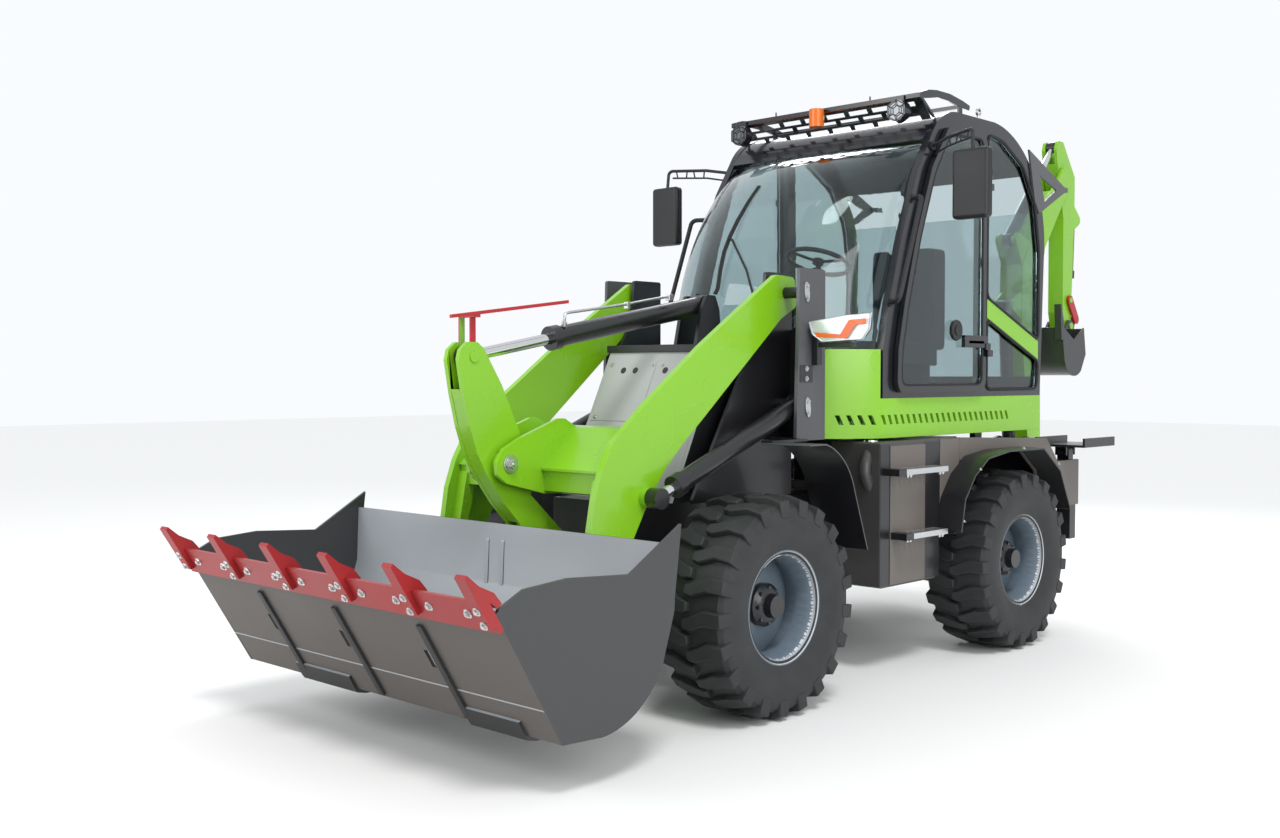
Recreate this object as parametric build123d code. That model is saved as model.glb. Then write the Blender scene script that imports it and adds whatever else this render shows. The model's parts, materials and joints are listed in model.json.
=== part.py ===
from build123d import *
from math import atan2, cos, hypot, degrees, radians, sin
import os

# Articulated backhoe loader. Millimetres, +X towards the loader bucket, +Y to the driver's left, +Z up.
# Everything is set out from the point on the ground midway between the axles, and moved at the end
# so that the origin lies under the middle of the machine.

# Wheels and axles
WHEELBASE = 2334
TRACK = 1610
TYRE_RADIUS = 537.5
TYRE_WIDTH = 410
RIM_RADIUS = 276
RIM_WIDTH = 350
RIM_SEAT = 254
RIM_WALL = 8
LUG_HEIGHT = 30
LUG_COUNT = 21
WHEEL_HUB_RADIUS = 105
AXLE_TUBE_RADIUS = 70
DIFFERENTIAL_RADIUS = 145
SPINDLE_RADIUS = 45
SHAFT_CLEARANCE = 0.3

# Pivot between the two frames
HINGE_PIN_RADIUS = 32
HINGE_EAR_RADIUS = 85
HINGE_EAR_THICKNESS = 30
HINGE_GAP = 5
HINGE_LEVELS = (755, 955)

# Front frame and loader towers
BEAM_HALF_WIDTH = 300
FRONT_BEAM_REAR = 350
FRONT_BEAM_NOSE = 1490
FRONT_BEAM_BOTTOM = 700
FRONT_BEAM_TOP = 1010
COWL_HALF_WIDTH = 400
COWL_TOP = 1780
TOWER_PLATE = 20
TOWER_INNER_FACE = 470
TOWER_OUTER_FACE = 710
TOWER_REAR = 480
TOWER_FRONT = 725
TOWER_TOP = 2200
TOWER_FOOT = 1310
FENDER_SHEET = 8
FENDER_OUTER = 1000

# Loader linkage, side view (x, z)
ARM_PIN = (610, 2080)
ARM_FOOT_PIN = (1975, 480)
ARM_INNER_FACE = 515
ARM_PLATE = 35
LIFT_BASE_PIN = (606, 1498)
LIFT_ROD_PIN = (1683, 1072)
LIFT_CYLINDER_Y = 625
BELLCRANK_PIN = (2140, 1232)
TILT_ROD_PIN = (2310, 1733)
TILT_BASE_PIN = (669, 2031)
LINK_REAR_PIN = (1786, 619)
LINK_FRONT_PIN = (2060, 770)
CROSS_TUBE_REAR = 1640
CROSS_TUBE_FRONT = 1935
CROSS_TUBE_TOP = 1400
CROSS_TUBE_BOTTOM = 1060
CRANK_INNER_FACE = 32
CRANK_PLATE = 24
CRANK_LUG_INNER = 88
CRANK_LUG_PLATE = 25
PIN_RADIUS = 30

# Loader bucket, stored rolled back
BUCKET_WIDTH = 2290
BUCKET_PLATE = 14
CHEEK_PLATE = 16
TEETH = 6
TOOTH_LENGTH = 245
TOOTH_WIDTH = 62
EDGE_DEPTH = 142
EDGE_REACH = 66
EDGE_THICKNESS = 22
WEAR_STRIP_WIDTH = 34
WEAR_STRIP_THICKNESS = 14

# Cab
CAB_HALF_WIDTH = 750
CAB_FLOOR = 1300
CAB_SILL = 1520
CAB_ROOF = 3190
CAB_REAR = -1850
NOSE_REACH = 470
NOSE_TOP = 1790
PANEL = 25
FRAME_DEPTH = 45
GLASS = 6
DOOR_GAP = 6
DOOR_THICKNESS = 28
DOOR_REAR = -1060
PILLAR_REAR = -1120

# Lifting eyes on the roof
ROOF_EYE = (-1111, 690, CAB_ROOF + 58)
ROOF_EYE_HOLE = 15
ROOF_EYE_OUTER = 25
ROOF_EYE_WIDTH = 12

# Rear frame and its boxes
RAIL_INNER = 330
RAIL_PLATE = 40
RAIL_BOTTOM = 700
RAIL_TOP = 900
REAR_FRAME_FRONT = -330
TANK_INNER = 500
TANK_OUTER = 820
TANK_FRONT = 130
TANK_REAR = -700
TANK_BOTTOM = 490
TANK_TOP = 1285
SIDE_PLATE = 20
SLIDE_FRAME_FRONT = -2150
SLIDE_FRAME_REAR = -2230
SLIDE_HALF_WIDTH = 800

# Backhoe, side view (x, z), and its place across the slide frame
HOE_Y = 250
SWING_X = -2370
CARRIAGE_HALF_WIDTH = 190
BOOM_FOOT_PIN = (-2560, 900)
DIPPER_PIN = (-3020, 3090)
HOE_BUCKET_PIN = (-3085, 2010)
BOOM_BASE_PIN = (-2335, 1165)
BOOM_ROD_PIN = (-2262, 2130)
DIPPER_BASE_PIN = (-2305, 2590)
DIPPER_ROD_PIN = (-2945, 3305)
HOE_BASE_PIN = (-3240, 2800)
HOE_ROD_PIN = (-3199, 2062)
HOE_LEVER_PIN = (-3100, 2200)
HOE_LINK_PIN = (-3114, 1848)
HOE_BUCKET_WIDTH = 450
STABILIZER_PIN_Y = 690
STABILIZER_PIN_Z = 620
STABILIZER_X = -2295

LEFT_RIGHT = (("left", 1), ("right", -1))

nodes = {}


def side_plate(outline, y_low, y_high, corner=0, holes=()):
    """A plate cut to an outline in side view, with round holes (x, z, radius)."""
    face = make_face(Polyline(*outline, close=True))
    if corner:
        face = fillet(face.vertices(), corner)
    for x, z, radius in holes:
        face -= Pos(x, z) * Circle(radius)
    return extrude(Plane.XZ.offset(-y_high) * face, amount=y_high - y_low)


def plan_plate(outline, z_low, z_high, corner=0):
    """A plate cut to an outline seen from above."""
    face = make_face(Polyline(*outline, close=True))
    if corner:
        face = fillet(face.vertices(), corner)
    return extrude(Pos(0, 0, z_low) * face, amount=z_high - z_low)


def link_plate(circles, y_low, y_high, holes=()):
    """A plate wrapped round circles (x, z, radius) in side view, with round holes."""
    rims = [edge for x, z, radius in circles for edge in (Pos(x, z) * Circle(radius)).edges()]
    face = make_hull(rims)
    for x, z, radius in holes:
        face -= Pos(x, z) * Circle(radius)
    return extrude(Plane.XZ.offset(-y_high) * face, amount=y_high - y_low)


def block(x_low, x_high, y_low, y_high, z_low, z_high):
    middle = Pos((x_low + x_high) / 2, (y_low + y_high) / 2, (z_low + z_high) / 2)
    return middle * Box(x_high - x_low, y_high - y_low, z_high - z_low)


def rod(start, end, radius):
    line = Vector(*end) - Vector(*start)
    return extrude(Plane(origin=start, z_dir=line) * Circle(radius), amount=line.length)


def cross_pin(point, y_low, y_high, radius):
    """A pin across the machine at a side-view point."""
    return rod((point[0], y_low, point[1]), (point[0], y_high, point[1]), radius)


def other_side(shape):
    return mirror(shape, about=Plane.XZ)


def both_sides(shape):
    return [shape, other_side(shape)]


def separate(shapes):
    """Like pieces that don't touch, kept as separate solids of one node."""
    return Compound([solid for shape in shapes for solid in shape.solids()])


def bent_tube(points, radius, bend):
    """A round tube along straight runs joined by arcs."""
    path = FilletPolyline(*points, radius=bend)
    start = Plane(origin=path @ 0, z_dir=path % 0)
    return sweep(start * Circle(radius), path=path)


def cylinder_pair(base, eye, y, sizes, gland, inside, base_width, eye_width):
    """A hydraulic cylinder in side view: the barrel with its bore, and the rod with its eye.

    sizes are the radii (barrel, rod, base eye, rod eye), gland is how far the barrel reaches from
    its base pin, and inside is how much of the rod lies in the barrel.
    """
    barrel_radius, rod_radius, base_radius, eye_radius = sizes
    length = hypot(eye[0] - base[0], eye[1] - base[1])
    along = ((eye[0] - base[0]) / length, (eye[1] - base[1]) / length)

    def at(distance):
        return (base[0] + along[0] * distance, y, base[1] + along[1] * distance)

    barrel = rod(at(base_radius * 0.7), at(gland), barrel_radius)
    barrel += rod(at(gland - 55), at(gland), barrel_radius + 9)
    barrel += cross_pin(base, y - base_width / 2, y + base_width / 2, base_radius)
    barrel -= rod(at(base_radius + 25), at(gland + 1), rod_radius + SHAFT_CLEARANCE)
    piston_rod = rod(at(gland - inside), at(length - eye_radius * 0.6), rod_radius)
    piston_rod += cross_pin(eye, y - eye_width / 2, y + eye_width / 2, eye_radius)
    return barrel, piston_rod


# Wheels: each tyre on its own rim, with the rim's dished disc and the planetary hub in its middle
def revolve_about_axle(profile, origin):
    """Turn a profile of (radius, outward distance) points about an axle on the left side."""
    plane = Plane(origin=origin, x_dir=(0, 0, 1), z_dir=(-1, 0, 0))
    face = plane * make_face(Polyline(*profile, close=True))
    return revolve(face, axis=Axis(origin, (0, 1, 0)))


half_tyre = TYRE_WIDTH / 2
half_rim = RIM_WIDTH / 2
tyre_half_profile = (
    (RIM_SEAT, half_rim - RIM_WALL),
    (RIM_RADIUS + 14, half_rim + 2),
    (RIM_RADIUS + 110, half_tyre),
    (TYRE_RADIUS - 75, half_tyre - 6),
    (TYRE_RADIUS - LUG_HEIGHT - 12, half_tyre - 40),
    (TYRE_RADIUS - LUG_HEIGHT, half_tyre - 90),
)
# One lug: its outline as (distance round the tread, distance from the tyre's middle), and its
# section as (distance from the tyre's middle, radius)
lug_outline = (
    (-30, half_tyre + 20),
    (26, half_tyre + 20),
    (30, 125),
    (60, 20),
    (28, -8),
    (-34, 112),
)
lug_top = TYRE_RADIUS - 3.5
lug_section = (
    (-20, TYRE_RADIUS - 95),
    (half_tyre + 3, TYRE_RADIUS - 95),
    (half_tyre - 4, TYRE_RADIUS - 48),
    (half_tyre - 34, lug_top - 6),
    (half_tyre - 70, lug_top),
    (-20, lug_top),
)
tyre_profile = [*tyre_half_profile, *[(r, -y) for r, y in reversed(tyre_half_profile)]]
rim_profile = (
    (RIM_SEAT - RIM_WALL, -half_rim + 40),
    (RIM_SEAT - RIM_WALL, -30),
    (WHEEL_HUB_RADIUS, 10),
    (WHEEL_HUB_RADIUS, 26),
    (RIM_SEAT - RIM_WALL, -12),
    (RIM_SEAT - RIM_WALL - 22, 70),
    (RIM_SEAT - RIM_WALL, half_rim - 30),
    (RIM_RADIUS - 6, half_rim),
    (RIM_RADIUS, half_rim),
    (RIM_RADIUS, half_rim - RIM_WALL),
    (RIM_SEAT, half_rim - RIM_WALL),
    (RIM_SEAT, -half_rim + RIM_WALL),
    (RIM_RADIUS, -half_rim + RIM_WALL),
    (RIM_RADIUS, -half_rim),
    (RIM_RADIUS - 6, -half_rim),
)
axle_flange_y = TRACK / 2 - half_tyre
hub_back = axle_flange_y + SHAFT_CLEARANCE - TRACK / 2
hub_profile = (
    (SPINDLE_RADIUS + SHAFT_CLEARANCE, hub_back),
    (WHEEL_HUB_RADIUS + 15, hub_back),
    (WHEEL_HUB_RADIUS + 15, hub_back + 60),
    (WHEEL_HUB_RADIUS, hub_back + 80),
    (WHEEL_HUB_RADIUS, 60),
    (WHEEL_HUB_RADIUS - 25, 85),
    (WHEEL_HUB_RADIUS - 45, 90),
    (WHEEL_HUB_RADIUS - 50, 130),
    (0, 130),
    (0, hub_back + 120),
    (SPINDLE_RADIUS + SHAFT_CLEARANCE, hub_back + 120),
)
lug_plan = extrude(Pos(0, 0, TYRE_RADIUS - 99) * make_face(Polyline(*lug_outline, close=True)), amount=110)
lug_slice = extrude(Plane.YZ.offset(-90) * make_face(Polyline(*lug_section, close=True)), amount=180)
left_lug = lug_plan & lug_slice
right_lug = mirror(mirror(left_lug, about=Plane.XZ), about=Plane.YZ)
lug_ring = []
for number in range(2 * LUG_COUNT):
    lug = left_lug if number % 2 else right_lug
    lug_ring.append(Rot(0, 180 * number / LUG_COUNT, 0) * lug)
wheel_tyre = revolve_about_axle(tyre_profile, (0, 0, 0)).fuse(*lug_ring)
wheel_rim = revolve_about_axle(rim_profile, (0, 0, 0)) + revolve_about_axle(hub_profile, (0, 0, 0))
for number in range(8):
    stud_angle = radians(45 * number)
    stud_at = (84 * cos(stud_angle), 0, 84 * sin(stud_angle))
    wheel_rim += rod((stud_at[0], 70, stud_at[2]), (stud_at[0], 84, stud_at[2]), 11)
for end, axle_x in (("front", WHEELBASE / 2), ("rear", -WHEELBASE / 2)):
    hub_place = Pos(axle_x, TRACK / 2, TYRE_RADIUS)
    tyre = hub_place * wheel_tyre
    rim = hub_place * wheel_rim
    nodes[f"{end}_left_tyre"] = tyre
    nodes[f"{end}_left_rim"] = rim
    nodes[f"{end}_right_tyre"] = other_side(tyre)
    nodes[f"{end}_right_rim"] = other_side(rim)

# Axles: banjo housing with the differential in its middle, flange and spindle at each end
for end, axle_x, seat_y, seat_z in (
    ("front", WHEELBASE / 2, 250, FRONT_BEAM_BOTTOM),
    ("rear", -WHEELBASE / 2, RAIL_INNER + RAIL_PLATE / 2, RAIL_BOTTOM),
):
    axle = rod((axle_x, -axle_flange_y, TYRE_RADIUS), (axle_x, axle_flange_y, TYRE_RADIUS), AXLE_TUBE_RADIUS)
    differential = Pos(axle_x, 0, TYRE_RADIUS) * Sphere(DIFFERENTIAL_RADIUS)
    axle += differential
    axle += rod((axle_x, 0, TYRE_RADIUS), (axle_x * 0.8, 0, TYRE_RADIUS), 60)
    for name, side in LEFT_RIGHT:
        flange = (axle_x, side * (axle_flange_y - 90), TYRE_RADIUS), (axle_x, side * axle_flange_y, TYRE_RADIUS)
        axle += rod(*flange, 115)
        spindle_end = (axle_x, side * (axle_flange_y + 110), TYRE_RADIUS)
        axle += rod((axle_x, side * axle_flange_y, TYRE_RADIUS), spindle_end, SPINDLE_RADIUS)
        pad_y = sorted((side * (seat_y - 35), side * (seat_y + 35)))
        axle += block(axle_x - 80, axle_x + 80, *pad_y, TYRE_RADIUS, seat_z)
    nodes[f"{end}_axle"] = axle

# Front frame: box beam over the axle, sloped cowl, inner and outer tower plates, tilt bracket
beam = block(FRONT_BEAM_REAR, FRONT_BEAM_NOSE, -BEAM_HALF_WIDTH, BEAM_HALF_WIDTH, FRONT_BEAM_BOTTOM, FRONT_BEAM_TOP)
beam -= block(
    FRONT_BEAM_REAR + 20, FRONT_BEAM_NOSE - 20, -BEAM_HALF_WIDTH + 20, BEAM_HALF_WIDTH - 20,
    FRONT_BEAM_BOTTOM - 1, FRONT_BEAM_TOP - 20,
)
cowl_outline = ((560, FRONT_BEAM_TOP), (560, COWL_TOP), (960, COWL_TOP), (1330, FRONT_BEAM_TOP))
cowl_inside = (
    (560 + TOWER_PLATE, FRONT_BEAM_TOP - 1),
    (560 + TOWER_PLATE, COWL_TOP - TOWER_PLATE),
    (960 - TOWER_PLATE, COWL_TOP - TOWER_PLATE),
    (1330 - 1.3 * TOWER_PLATE, FRONT_BEAM_TOP - 1),
)
cowl = side_plate(cowl_outline, -COWL_HALF_WIDTH, COWL_HALF_WIDTH)
cowl -= side_plate(cowl_inside, -COWL_HALF_WIDTH + TOWER_PLATE, COWL_HALF_WIDTH - TOWER_PLATE)
front_frame = beam + cowl
front_frame += block(560, 960, -TOWER_INNER_FACE, TOWER_INNER_FACE, FRONT_BEAM_TOP, FRONT_BEAM_TOP + TOWER_PLATE)
inner_outline = (
    (TOWER_REAR, FRONT_BEAM_TOP),
    (TOWER_REAR, TOWER_TOP - 10),
    (TOWER_FRONT - 25, TOWER_TOP - 10),
    (TOWER_FRONT, 1950),
    (1290, FRONT_BEAM_TOP),
)
outer_outline = (
    (TOWER_REAR, TOWER_FOOT),
    (TOWER_REAR, TOWER_TOP),
    (TOWER_FRONT - 25, TOWER_TOP),
    (TOWER_FRONT, TOWER_FOOT),
)
inner_high = TOWER_INNER_FACE + TOWER_PLATE
outer_low = TOWER_OUTER_FACE - TOWER_PLATE
arm_pin_x, arm_pin_z = ARM_PIN
lift_pin_x, lift_pin_z = LIFT_BASE_PIN
for shape in both_sides(side_plate(inner_outline, TOWER_INNER_FACE, inner_high, 15)):
    front_frame += shape
for shape in both_sides(side_plate(outer_outline, outer_low, TOWER_OUTER_FACE, 15)):
    front_frame += shape
tower_web = block(TOWER_REAR, TOWER_REAR + 12, inner_high, outer_low, TOWER_FOOT, 1890)
tower_shelf = block(TOWER_REAR, TOWER_FRONT, TOWER_INNER_FACE, TOWER_OUTER_FACE, TOWER_FOOT, TOWER_FOOT + 15)
cowl_tie = block(TOWER_REAR + 80, 760, COWL_HALF_WIDTH, TOWER_INNER_FACE, 1500, 1520)
arm_pin = cross_pin(ARM_PIN, TOWER_INNER_FACE, TOWER_OUTER_FACE, PIN_RADIUS)
lift_pin = cross_pin(LIFT_BASE_PIN, inner_high, outer_low, PIN_RADIUS)
fender_bracket = block(TOWER_FRONT - 30, 990, outer_low, TOWER_OUTER_FACE + 50, TOWER_FOOT, TOWER_FOOT + 12)
for piece in (tower_web, tower_shelf, cowl_tie, fender_bracket, arm_pin, lift_pin):
    for shape in both_sides(piece):
        front_frame += shape
tilt_bracket = side_plate(
    ((575, COWL_TOP), (800, COWL_TOP), (745, 2010), (705, 2085), (635, 2085), (600, 2010)), 62, 84, 12
)
for shape in both_sides(tilt_bracket):
    front_frame += shape
front_frame += cross_pin(TILT_BASE_PIN, -84, 84, PIN_RADIUS)
hinge_taper = ((FRONT_BEAM_REAR, -190), (FRONT_BEAM_REAR, 190), (40, HINGE_EAR_RADIUS), (40, -HINGE_EAR_RADIUS))
for level in HINGE_LEVELS:
    front_frame += rod((0, 0, level - 60), (0, 0, level + 60), HINGE_PIN_RADIUS)
    for side in (1, -1):
        ear_middle = level + side * (HINGE_EAR_THICKNESS + HINGE_GAP)
        ear_low = ear_middle - HINGE_EAR_THICKNESS / 2
        ear_high = ear_middle + HINGE_EAR_THICKNESS / 2
        front_frame += plan_plate(hinge_taper, ear_low, ear_high)
        front_frame += rod((0, 0, ear_low), (0, 0, ear_high), HINGE_EAR_RADIUS)
nodes["front_frame"] = front_frame

# Front fenders: a bent sheet behind each front wheel, bolted under the tower
fender_top = TOWER_FOOT - FENDER_SHEET / 2
fender_line = Polyline((1000, fender_top), (860, fender_top))
fender_line += ThreePointArc((860, fender_top), (715, 1222), (622, 1069))
fender_line += Line((622, 1069), (503, 754))
fender_face = trace(fender_line, FENDER_SHEET)
fender = extrude(Plane.XZ.offset(-FENDER_OUTER) * fender_face, amount=FENDER_OUTER - outer_low - 10)
nodes["front_fenders"] = separate(both_sides(fender))

# Head lamps: a moulded lamp on a bracket that stands out from each tower
lamp_bracket = block(560, 600, TOWER_OUTER_FACE, TOWER_OUTER_FACE + 40, 1690, 1900)
lamp_bracket += block(560, 590, TOWER_OUTER_FACE, 1010, 1810, 1832)
lamp = block(540, 640, TOWER_OUTER_FACE + 12, 1075, 1832, 1975)
lamp = fillet(lamp.edges().filter_by(Axis.X), 25)
nodes["head_lamps"] = separate(both_sides(lamp_bracket + lamp))

# Loader arms: two cut plates, the cross tube between them and the lugs for the bellcrank
arm_outline = (
    (535, 2165),
    (690, 2172),
    (1284, 1794),
    (1670, 1520),
    (1895, 1340),
    (1965, 1220),
    (2015, 1080),
    (2048, 880),
    (2056, 640),
    (2050, 420),
    (1905, 420),
    (1860, 680),
    (1765, 880),
    (1655, 1060),
    (1540, 1205),
    (1425, 1310),
    (1245, 1455),
    (648, 1945),
    (520, 2010),
)
foot_x, foot_z = ARM_FOOT_PIN
PIN_HOLE = PIN_RADIUS + SHAFT_CLEARANCE
arm_holes = ((arm_pin_x, arm_pin_z, PIN_HOLE), (foot_x, foot_z, PIN_HOLE))
arm_high = ARM_INNER_FACE + ARM_PLATE
arm = side_plate(arm_outline, ARM_INNER_FACE, arm_high, 30, arm_holes)
arm_pin_boss = cross_pin(LIFT_ROD_PIN, arm_high, LIFT_CYLINDER_Y - 35 - SHAFT_CLEARANCE, 48)
tube_outline = (
    (CROSS_TUBE_REAR, CROSS_TUBE_BOTTOM + 60),
    (CROSS_TUBE_REAR, CROSS_TUBE_TOP),
    (CROSS_TUBE_REAR + 100, CROSS_TUBE_TOP - 5),
    (CROSS_TUBE_FRONT, CROSS_TUBE_TOP - 195),
    (CROSS_TUBE_FRONT - 5, CROSS_TUBE_BOTTOM + 35),
    (CROSS_TUBE_REAR + 60, CROSS_TUBE_BOTTOM),
)
arms = side_plate(tube_outline, -ARM_INNER_FACE, ARM_INNER_FACE)
arms += block(
    CROSS_TUBE_FRONT - 40, CROSS_TUBE_FRONT + 14, -ARM_INNER_FACE, ARM_INNER_FACE,
    CROSS_TUBE_TOP - 207, CROSS_TUBE_TOP - 195,
)
gusset_outline = (
    (CROSS_TUBE_FRONT - 30, CROSS_TUBE_TOP - 240),
    (CROSS_TUBE_FRONT + 5, CROSS_TUBE_TOP - 240),
    (2030, 700),
    (1990, 700),
    (1890, CROSS_TUBE_BOTTOM + 15),
)
gusset = side_plate(gusset_outline, ARM_INNER_FACE - 60, ARM_INNER_FACE)
for shape in both_sides(gusset):
    arms += shape
for piece in (arm, arm_pin_boss):
    for shape in both_sides(piece):
        arms += shape
crank_x, crank_z = BELLCRANK_PIN
crank_lug_outline = (
    (CROSS_TUBE_REAR + 65, CROSS_TUBE_TOP - 10),
    (CROSS_TUBE_REAR + 150, CROSS_TUBE_TOP + 38),
    (CROSS_TUBE_REAR + 195, CROSS_TUBE_TOP + 38),
    (crank_x - 55, crank_z + 118),
    (crank_x + 40, crank_z + 72),
    (crank_x + 84, crank_z + 10),
    (crank_x + 78, crank_z - 50),
    (crank_x + 20, crank_z - 92),
    (CROSS_TUBE_FRONT - 10, CROSS_TUBE_BOTTOM + 20),
    (CROSS_TUBE_REAR + 60, CROSS_TUBE_BOTTOM + 10),
)
crank_lug_outer = CRANK_LUG_INNER + CRANK_LUG_PLATE
crank_lug = side_plate(crank_lug_outline, CRANK_LUG_INNER, crank_lug_outer, 14, ((crank_x, crank_z, PIN_HOLE),))
for shape in both_sides(crank_lug):
    arms += shape
nodes["loader_arms"] = arms
foot_pin = cross_pin(ARM_FOOT_PIN, ARM_INNER_FACE - 40, arm_high + 40, PIN_RADIUS)
foot_pin += cross_pin(ARM_FOOT_PIN, arm_high + 35, arm_high + 42, PIN_RADIUS + 14)
nodes["bucket_pins"] = separate(both_sides(foot_pin))
crank_pin = cross_pin(BELLCRANK_PIN, -crank_lug_outer, crank_lug_outer + 8, PIN_RADIUS)
crank_pin += cross_pin(BELLCRANK_PIN, crank_lug_outer + SHAFT_CLEARANCE, crank_lug_outer + 8, PIN_RADIUS + 14)
nodes["crank_pin"] = crank_pin

# Bellcrank: two long plates with a spacer block, and the red level indicator at its top
tilt_x, tilt_z = TILT_ROD_PIN
link_x, link_z = LINK_REAR_PIN
crank_outline = (
    (tilt_x - 60, tilt_z + 40),
    (tilt_x - 22, tilt_z + 68),
    (tilt_x + 36, tilt_z + 68),
    (tilt_x + 78, tilt_z + 34),
    (tilt_x + 90, tilt_z - 14),
    (tilt_x + 62, tilt_z - 173),
    (crank_x + 195, crank_z + 178),
    (crank_x + 150, crank_z + 48),
    (crank_x + 100, crank_z - 42),
    (crank_x - 12, crank_z - 192),
    (crank_x - 108, crank_z - 295),
    (link_x + 62, link_z - 30),
    (link_x + 10, link_z - 60),
    (link_x - 52, link_z - 28),
    (link_x - 58, link_z + 24),
    (link_x - 44, link_z + 250),
    (crank_x - 178, crank_z - 160),
    (crank_x - 160, crank_z + 6),
    (crank_x - 102, crank_z + 156),
    (tilt_x - 168, tilt_z - 131),
)
crank_holes = (
    (crank_x, crank_z, PIN_RADIUS + SHAFT_CLEARANCE),
    (link_x, link_z, PIN_RADIUS + SHAFT_CLEARANCE),
)
crank_outer_face = CRANK_INNER_FACE + CRANK_PLATE
bellcrank = side_plate(crank_outline, CRANK_INNER_FACE, crank_outer_face, 10, crank_holes)
bellcrank += other_side(bellcrank)
crank_web = (
    (tilt_x + 66, tilt_z - 150),
    (tilt_x + 58, tilt_z - 178),
    (crank_x + 192, crank_z + 176),
    (crank_x + 146, crank_z + 48),
    (crank_x + 97, crank_z - 42),
    (crank_x - 14, crank_z - 190),
    (crank_x - 106, crank_z - 288),
    (crank_x - 128, crank_z - 272),
    (crank_x - 34, crank_z - 172),
    (crank_x + 76, crank_z - 26),
    (crank_x + 122, crank_z + 58),
    (crank_x + 168, crank_z + 182),
    (tilt_x + 36, tilt_z - 172),
    (tilt_x + 44, tilt_z - 150),
)
bellcrank += side_plate(crank_web, -CRANK_INNER_FACE, CRANK_INNER_FACE)
crank_boss = cross_pin(BELLCRANK_PIN, CRANK_INNER_FACE, CRANK_LUG_INNER - 4, 58)
crank_boss -= cross_pin(BELLCRANK_PIN, CRANK_INNER_FACE - 1, CRANK_LUG_INNER, PIN_HOLE)
for shape in both_sides(crank_boss):
    bellcrank += shape
tilt_pin_stub = cross_pin(TILT_ROD_PIN, crank_outer_face, crank_outer_face + 7, 26)
for shape in both_sides(tilt_pin_stub):
    bellcrank += shape

# Level indicator: a red bar on two posts, beside the tilt cylinder
INDICATOR_Y = (67, 83)
indicator = side_plate(
    ((tilt_x + 150, 1906), (tilt_x + 150, 1922), (1735, 2016), (1735, 2000)), *INDICATOR_Y
)
indicator += block(tilt_x - 18, tilt_x + 14, -CRANK_INNER_FACE - 8, INDICATOR_Y[1], 1914, 1932)
for post_y in ((-CRANK_INNER_FACE - 8, -CRANK_INNER_FACE), (CRANK_INNER_FACE + 8, CRANK_INNER_FACE + 16)):
    indicator += block(tilt_x - 18, tilt_x + 14, *post_y, tilt_z + 50, 1920)
bellcrank += indicator
nodes["bellcrank"] = bellcrank

# Tilt link: a bar between the bellcrank's lower end and the bucket
link_front_x, link_front_z = LINK_FRONT_PIN
link = link_plate(((link_x, link_z, 50), (link_front_x, link_front_z, 34)), -26, 26, ((link_x, link_z, PIN_HOLE),))
link += cross_pin(LINK_FRONT_PIN, -38, 38, 32)
nodes["tilt_link"] = link
nodes["link_pin"] = cross_pin(LINK_REAR_PIN, -crank_outer_face - 12, crank_outer_face + 12, PIN_RADIUS)

# Loader bucket: a rolled shell between two cheeks, the spill guard, lugs for arms and link,
# wear strips and slots in the floor plate, and two curved shoes under its heel
LIP = (3095, 780)
HEEL = (2767, 234)
lip_length = hypot(LIP[0] - HEEL[0], LIP[1] - HEEL[1])
edge_along = ((LIP[0] - HEEL[0]) / lip_length, (LIP[1] - HEEL[1]) / lip_length)
edge_normal = (edge_along[1], -edge_along[0])


def edge_point(along, out):
    """A side-view point on the bucket's lip: along towards the tooth tips, out from the floor."""
    return (
        LIP[0] + edge_along[0] * along + edge_normal[0] * out,
        LIP[1] + edge_along[1] * along + edge_normal[1] * out,
    )


half_bucket = BUCKET_WIDTH / 2
shell_path = Polyline(LIP, HEEL, (2560, 224))
shell_path += ThreePointArc((2560, 224), (2330, 310), (2206, 469))
shell_path += Polyline((2206, 469), (2140, 667), (2128, 945))
shell_face = trace(shell_path, BUCKET_PLATE)
shell = extrude(Plane.XZ.offset(-half_bucket) * shell_face, amount=BUCKET_WIDTH)
cheek_line = Polyline(
    (2133, 700), (2090, 1026), (2249, 934), (2396, 847), (2738, 868), (2962, 851), (3088, 790),
    edge_point(0, -7), edge_point(0, 6), (2772, 226), (2555, 216),
)
cheek_line += ThreePointArc((2555, 216), (2324, 305), (2198, 467))
cheek_line += Line((2198, 467), (2133, 700))
cheek = extrude(Plane.XZ.offset(-half_bucket) * make_face(cheek_line), amount=CHEEK_PLATE)
bucket = shell
for shape in both_sides(cheek):
    bucket += shape
lug_low = ARM_INNER_FACE - 34
lug_high = arm_high + 34
foot_lug = link_plate(
    ((foot_x, foot_z, 70), (2185, 560, 20), (2225, 430, 20)), lug_low, lug_low + 25,
    ((foot_x, foot_z, PIN_RADIUS + SHAFT_CLEARANCE),),
)
outer_lug = link_plate(
    ((foot_x, foot_z, 70), (2185, 560, 20), (2225, 430, 20)), lug_high - 25, lug_high,
    ((foot_x, foot_z, PIN_RADIUS + SHAFT_CLEARANCE),),
)
link_lug = link_plate(((link_front_x, link_front_z, 55), (2130, 860, 12), (2140, 660, 12)), 44, 66)
for piece in (foot_lug, outer_lug, link_lug):
    for shape in both_sides(piece):
        bucket += shape
for strip_y in (-600, 0, 600):
    strip = (edge_point(-135, 5), edge_point(-135, 21), edge_point(-622, 21), edge_point(-622, 5))
    bucket += side_plate(strip, strip_y - WEAR_STRIP_WIDTH / 2, strip_y + WEAR_STRIP_WIDTH / 2)
for slot_y in (-655, -70, 535):
    slot = (edge_point(-280, -9), edge_point(-280, 9), edge_point(-370, 9), edge_point(-370, -9))
    bucket -= side_plate(slot, slot_y - 15, slot_y + 15)
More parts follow.
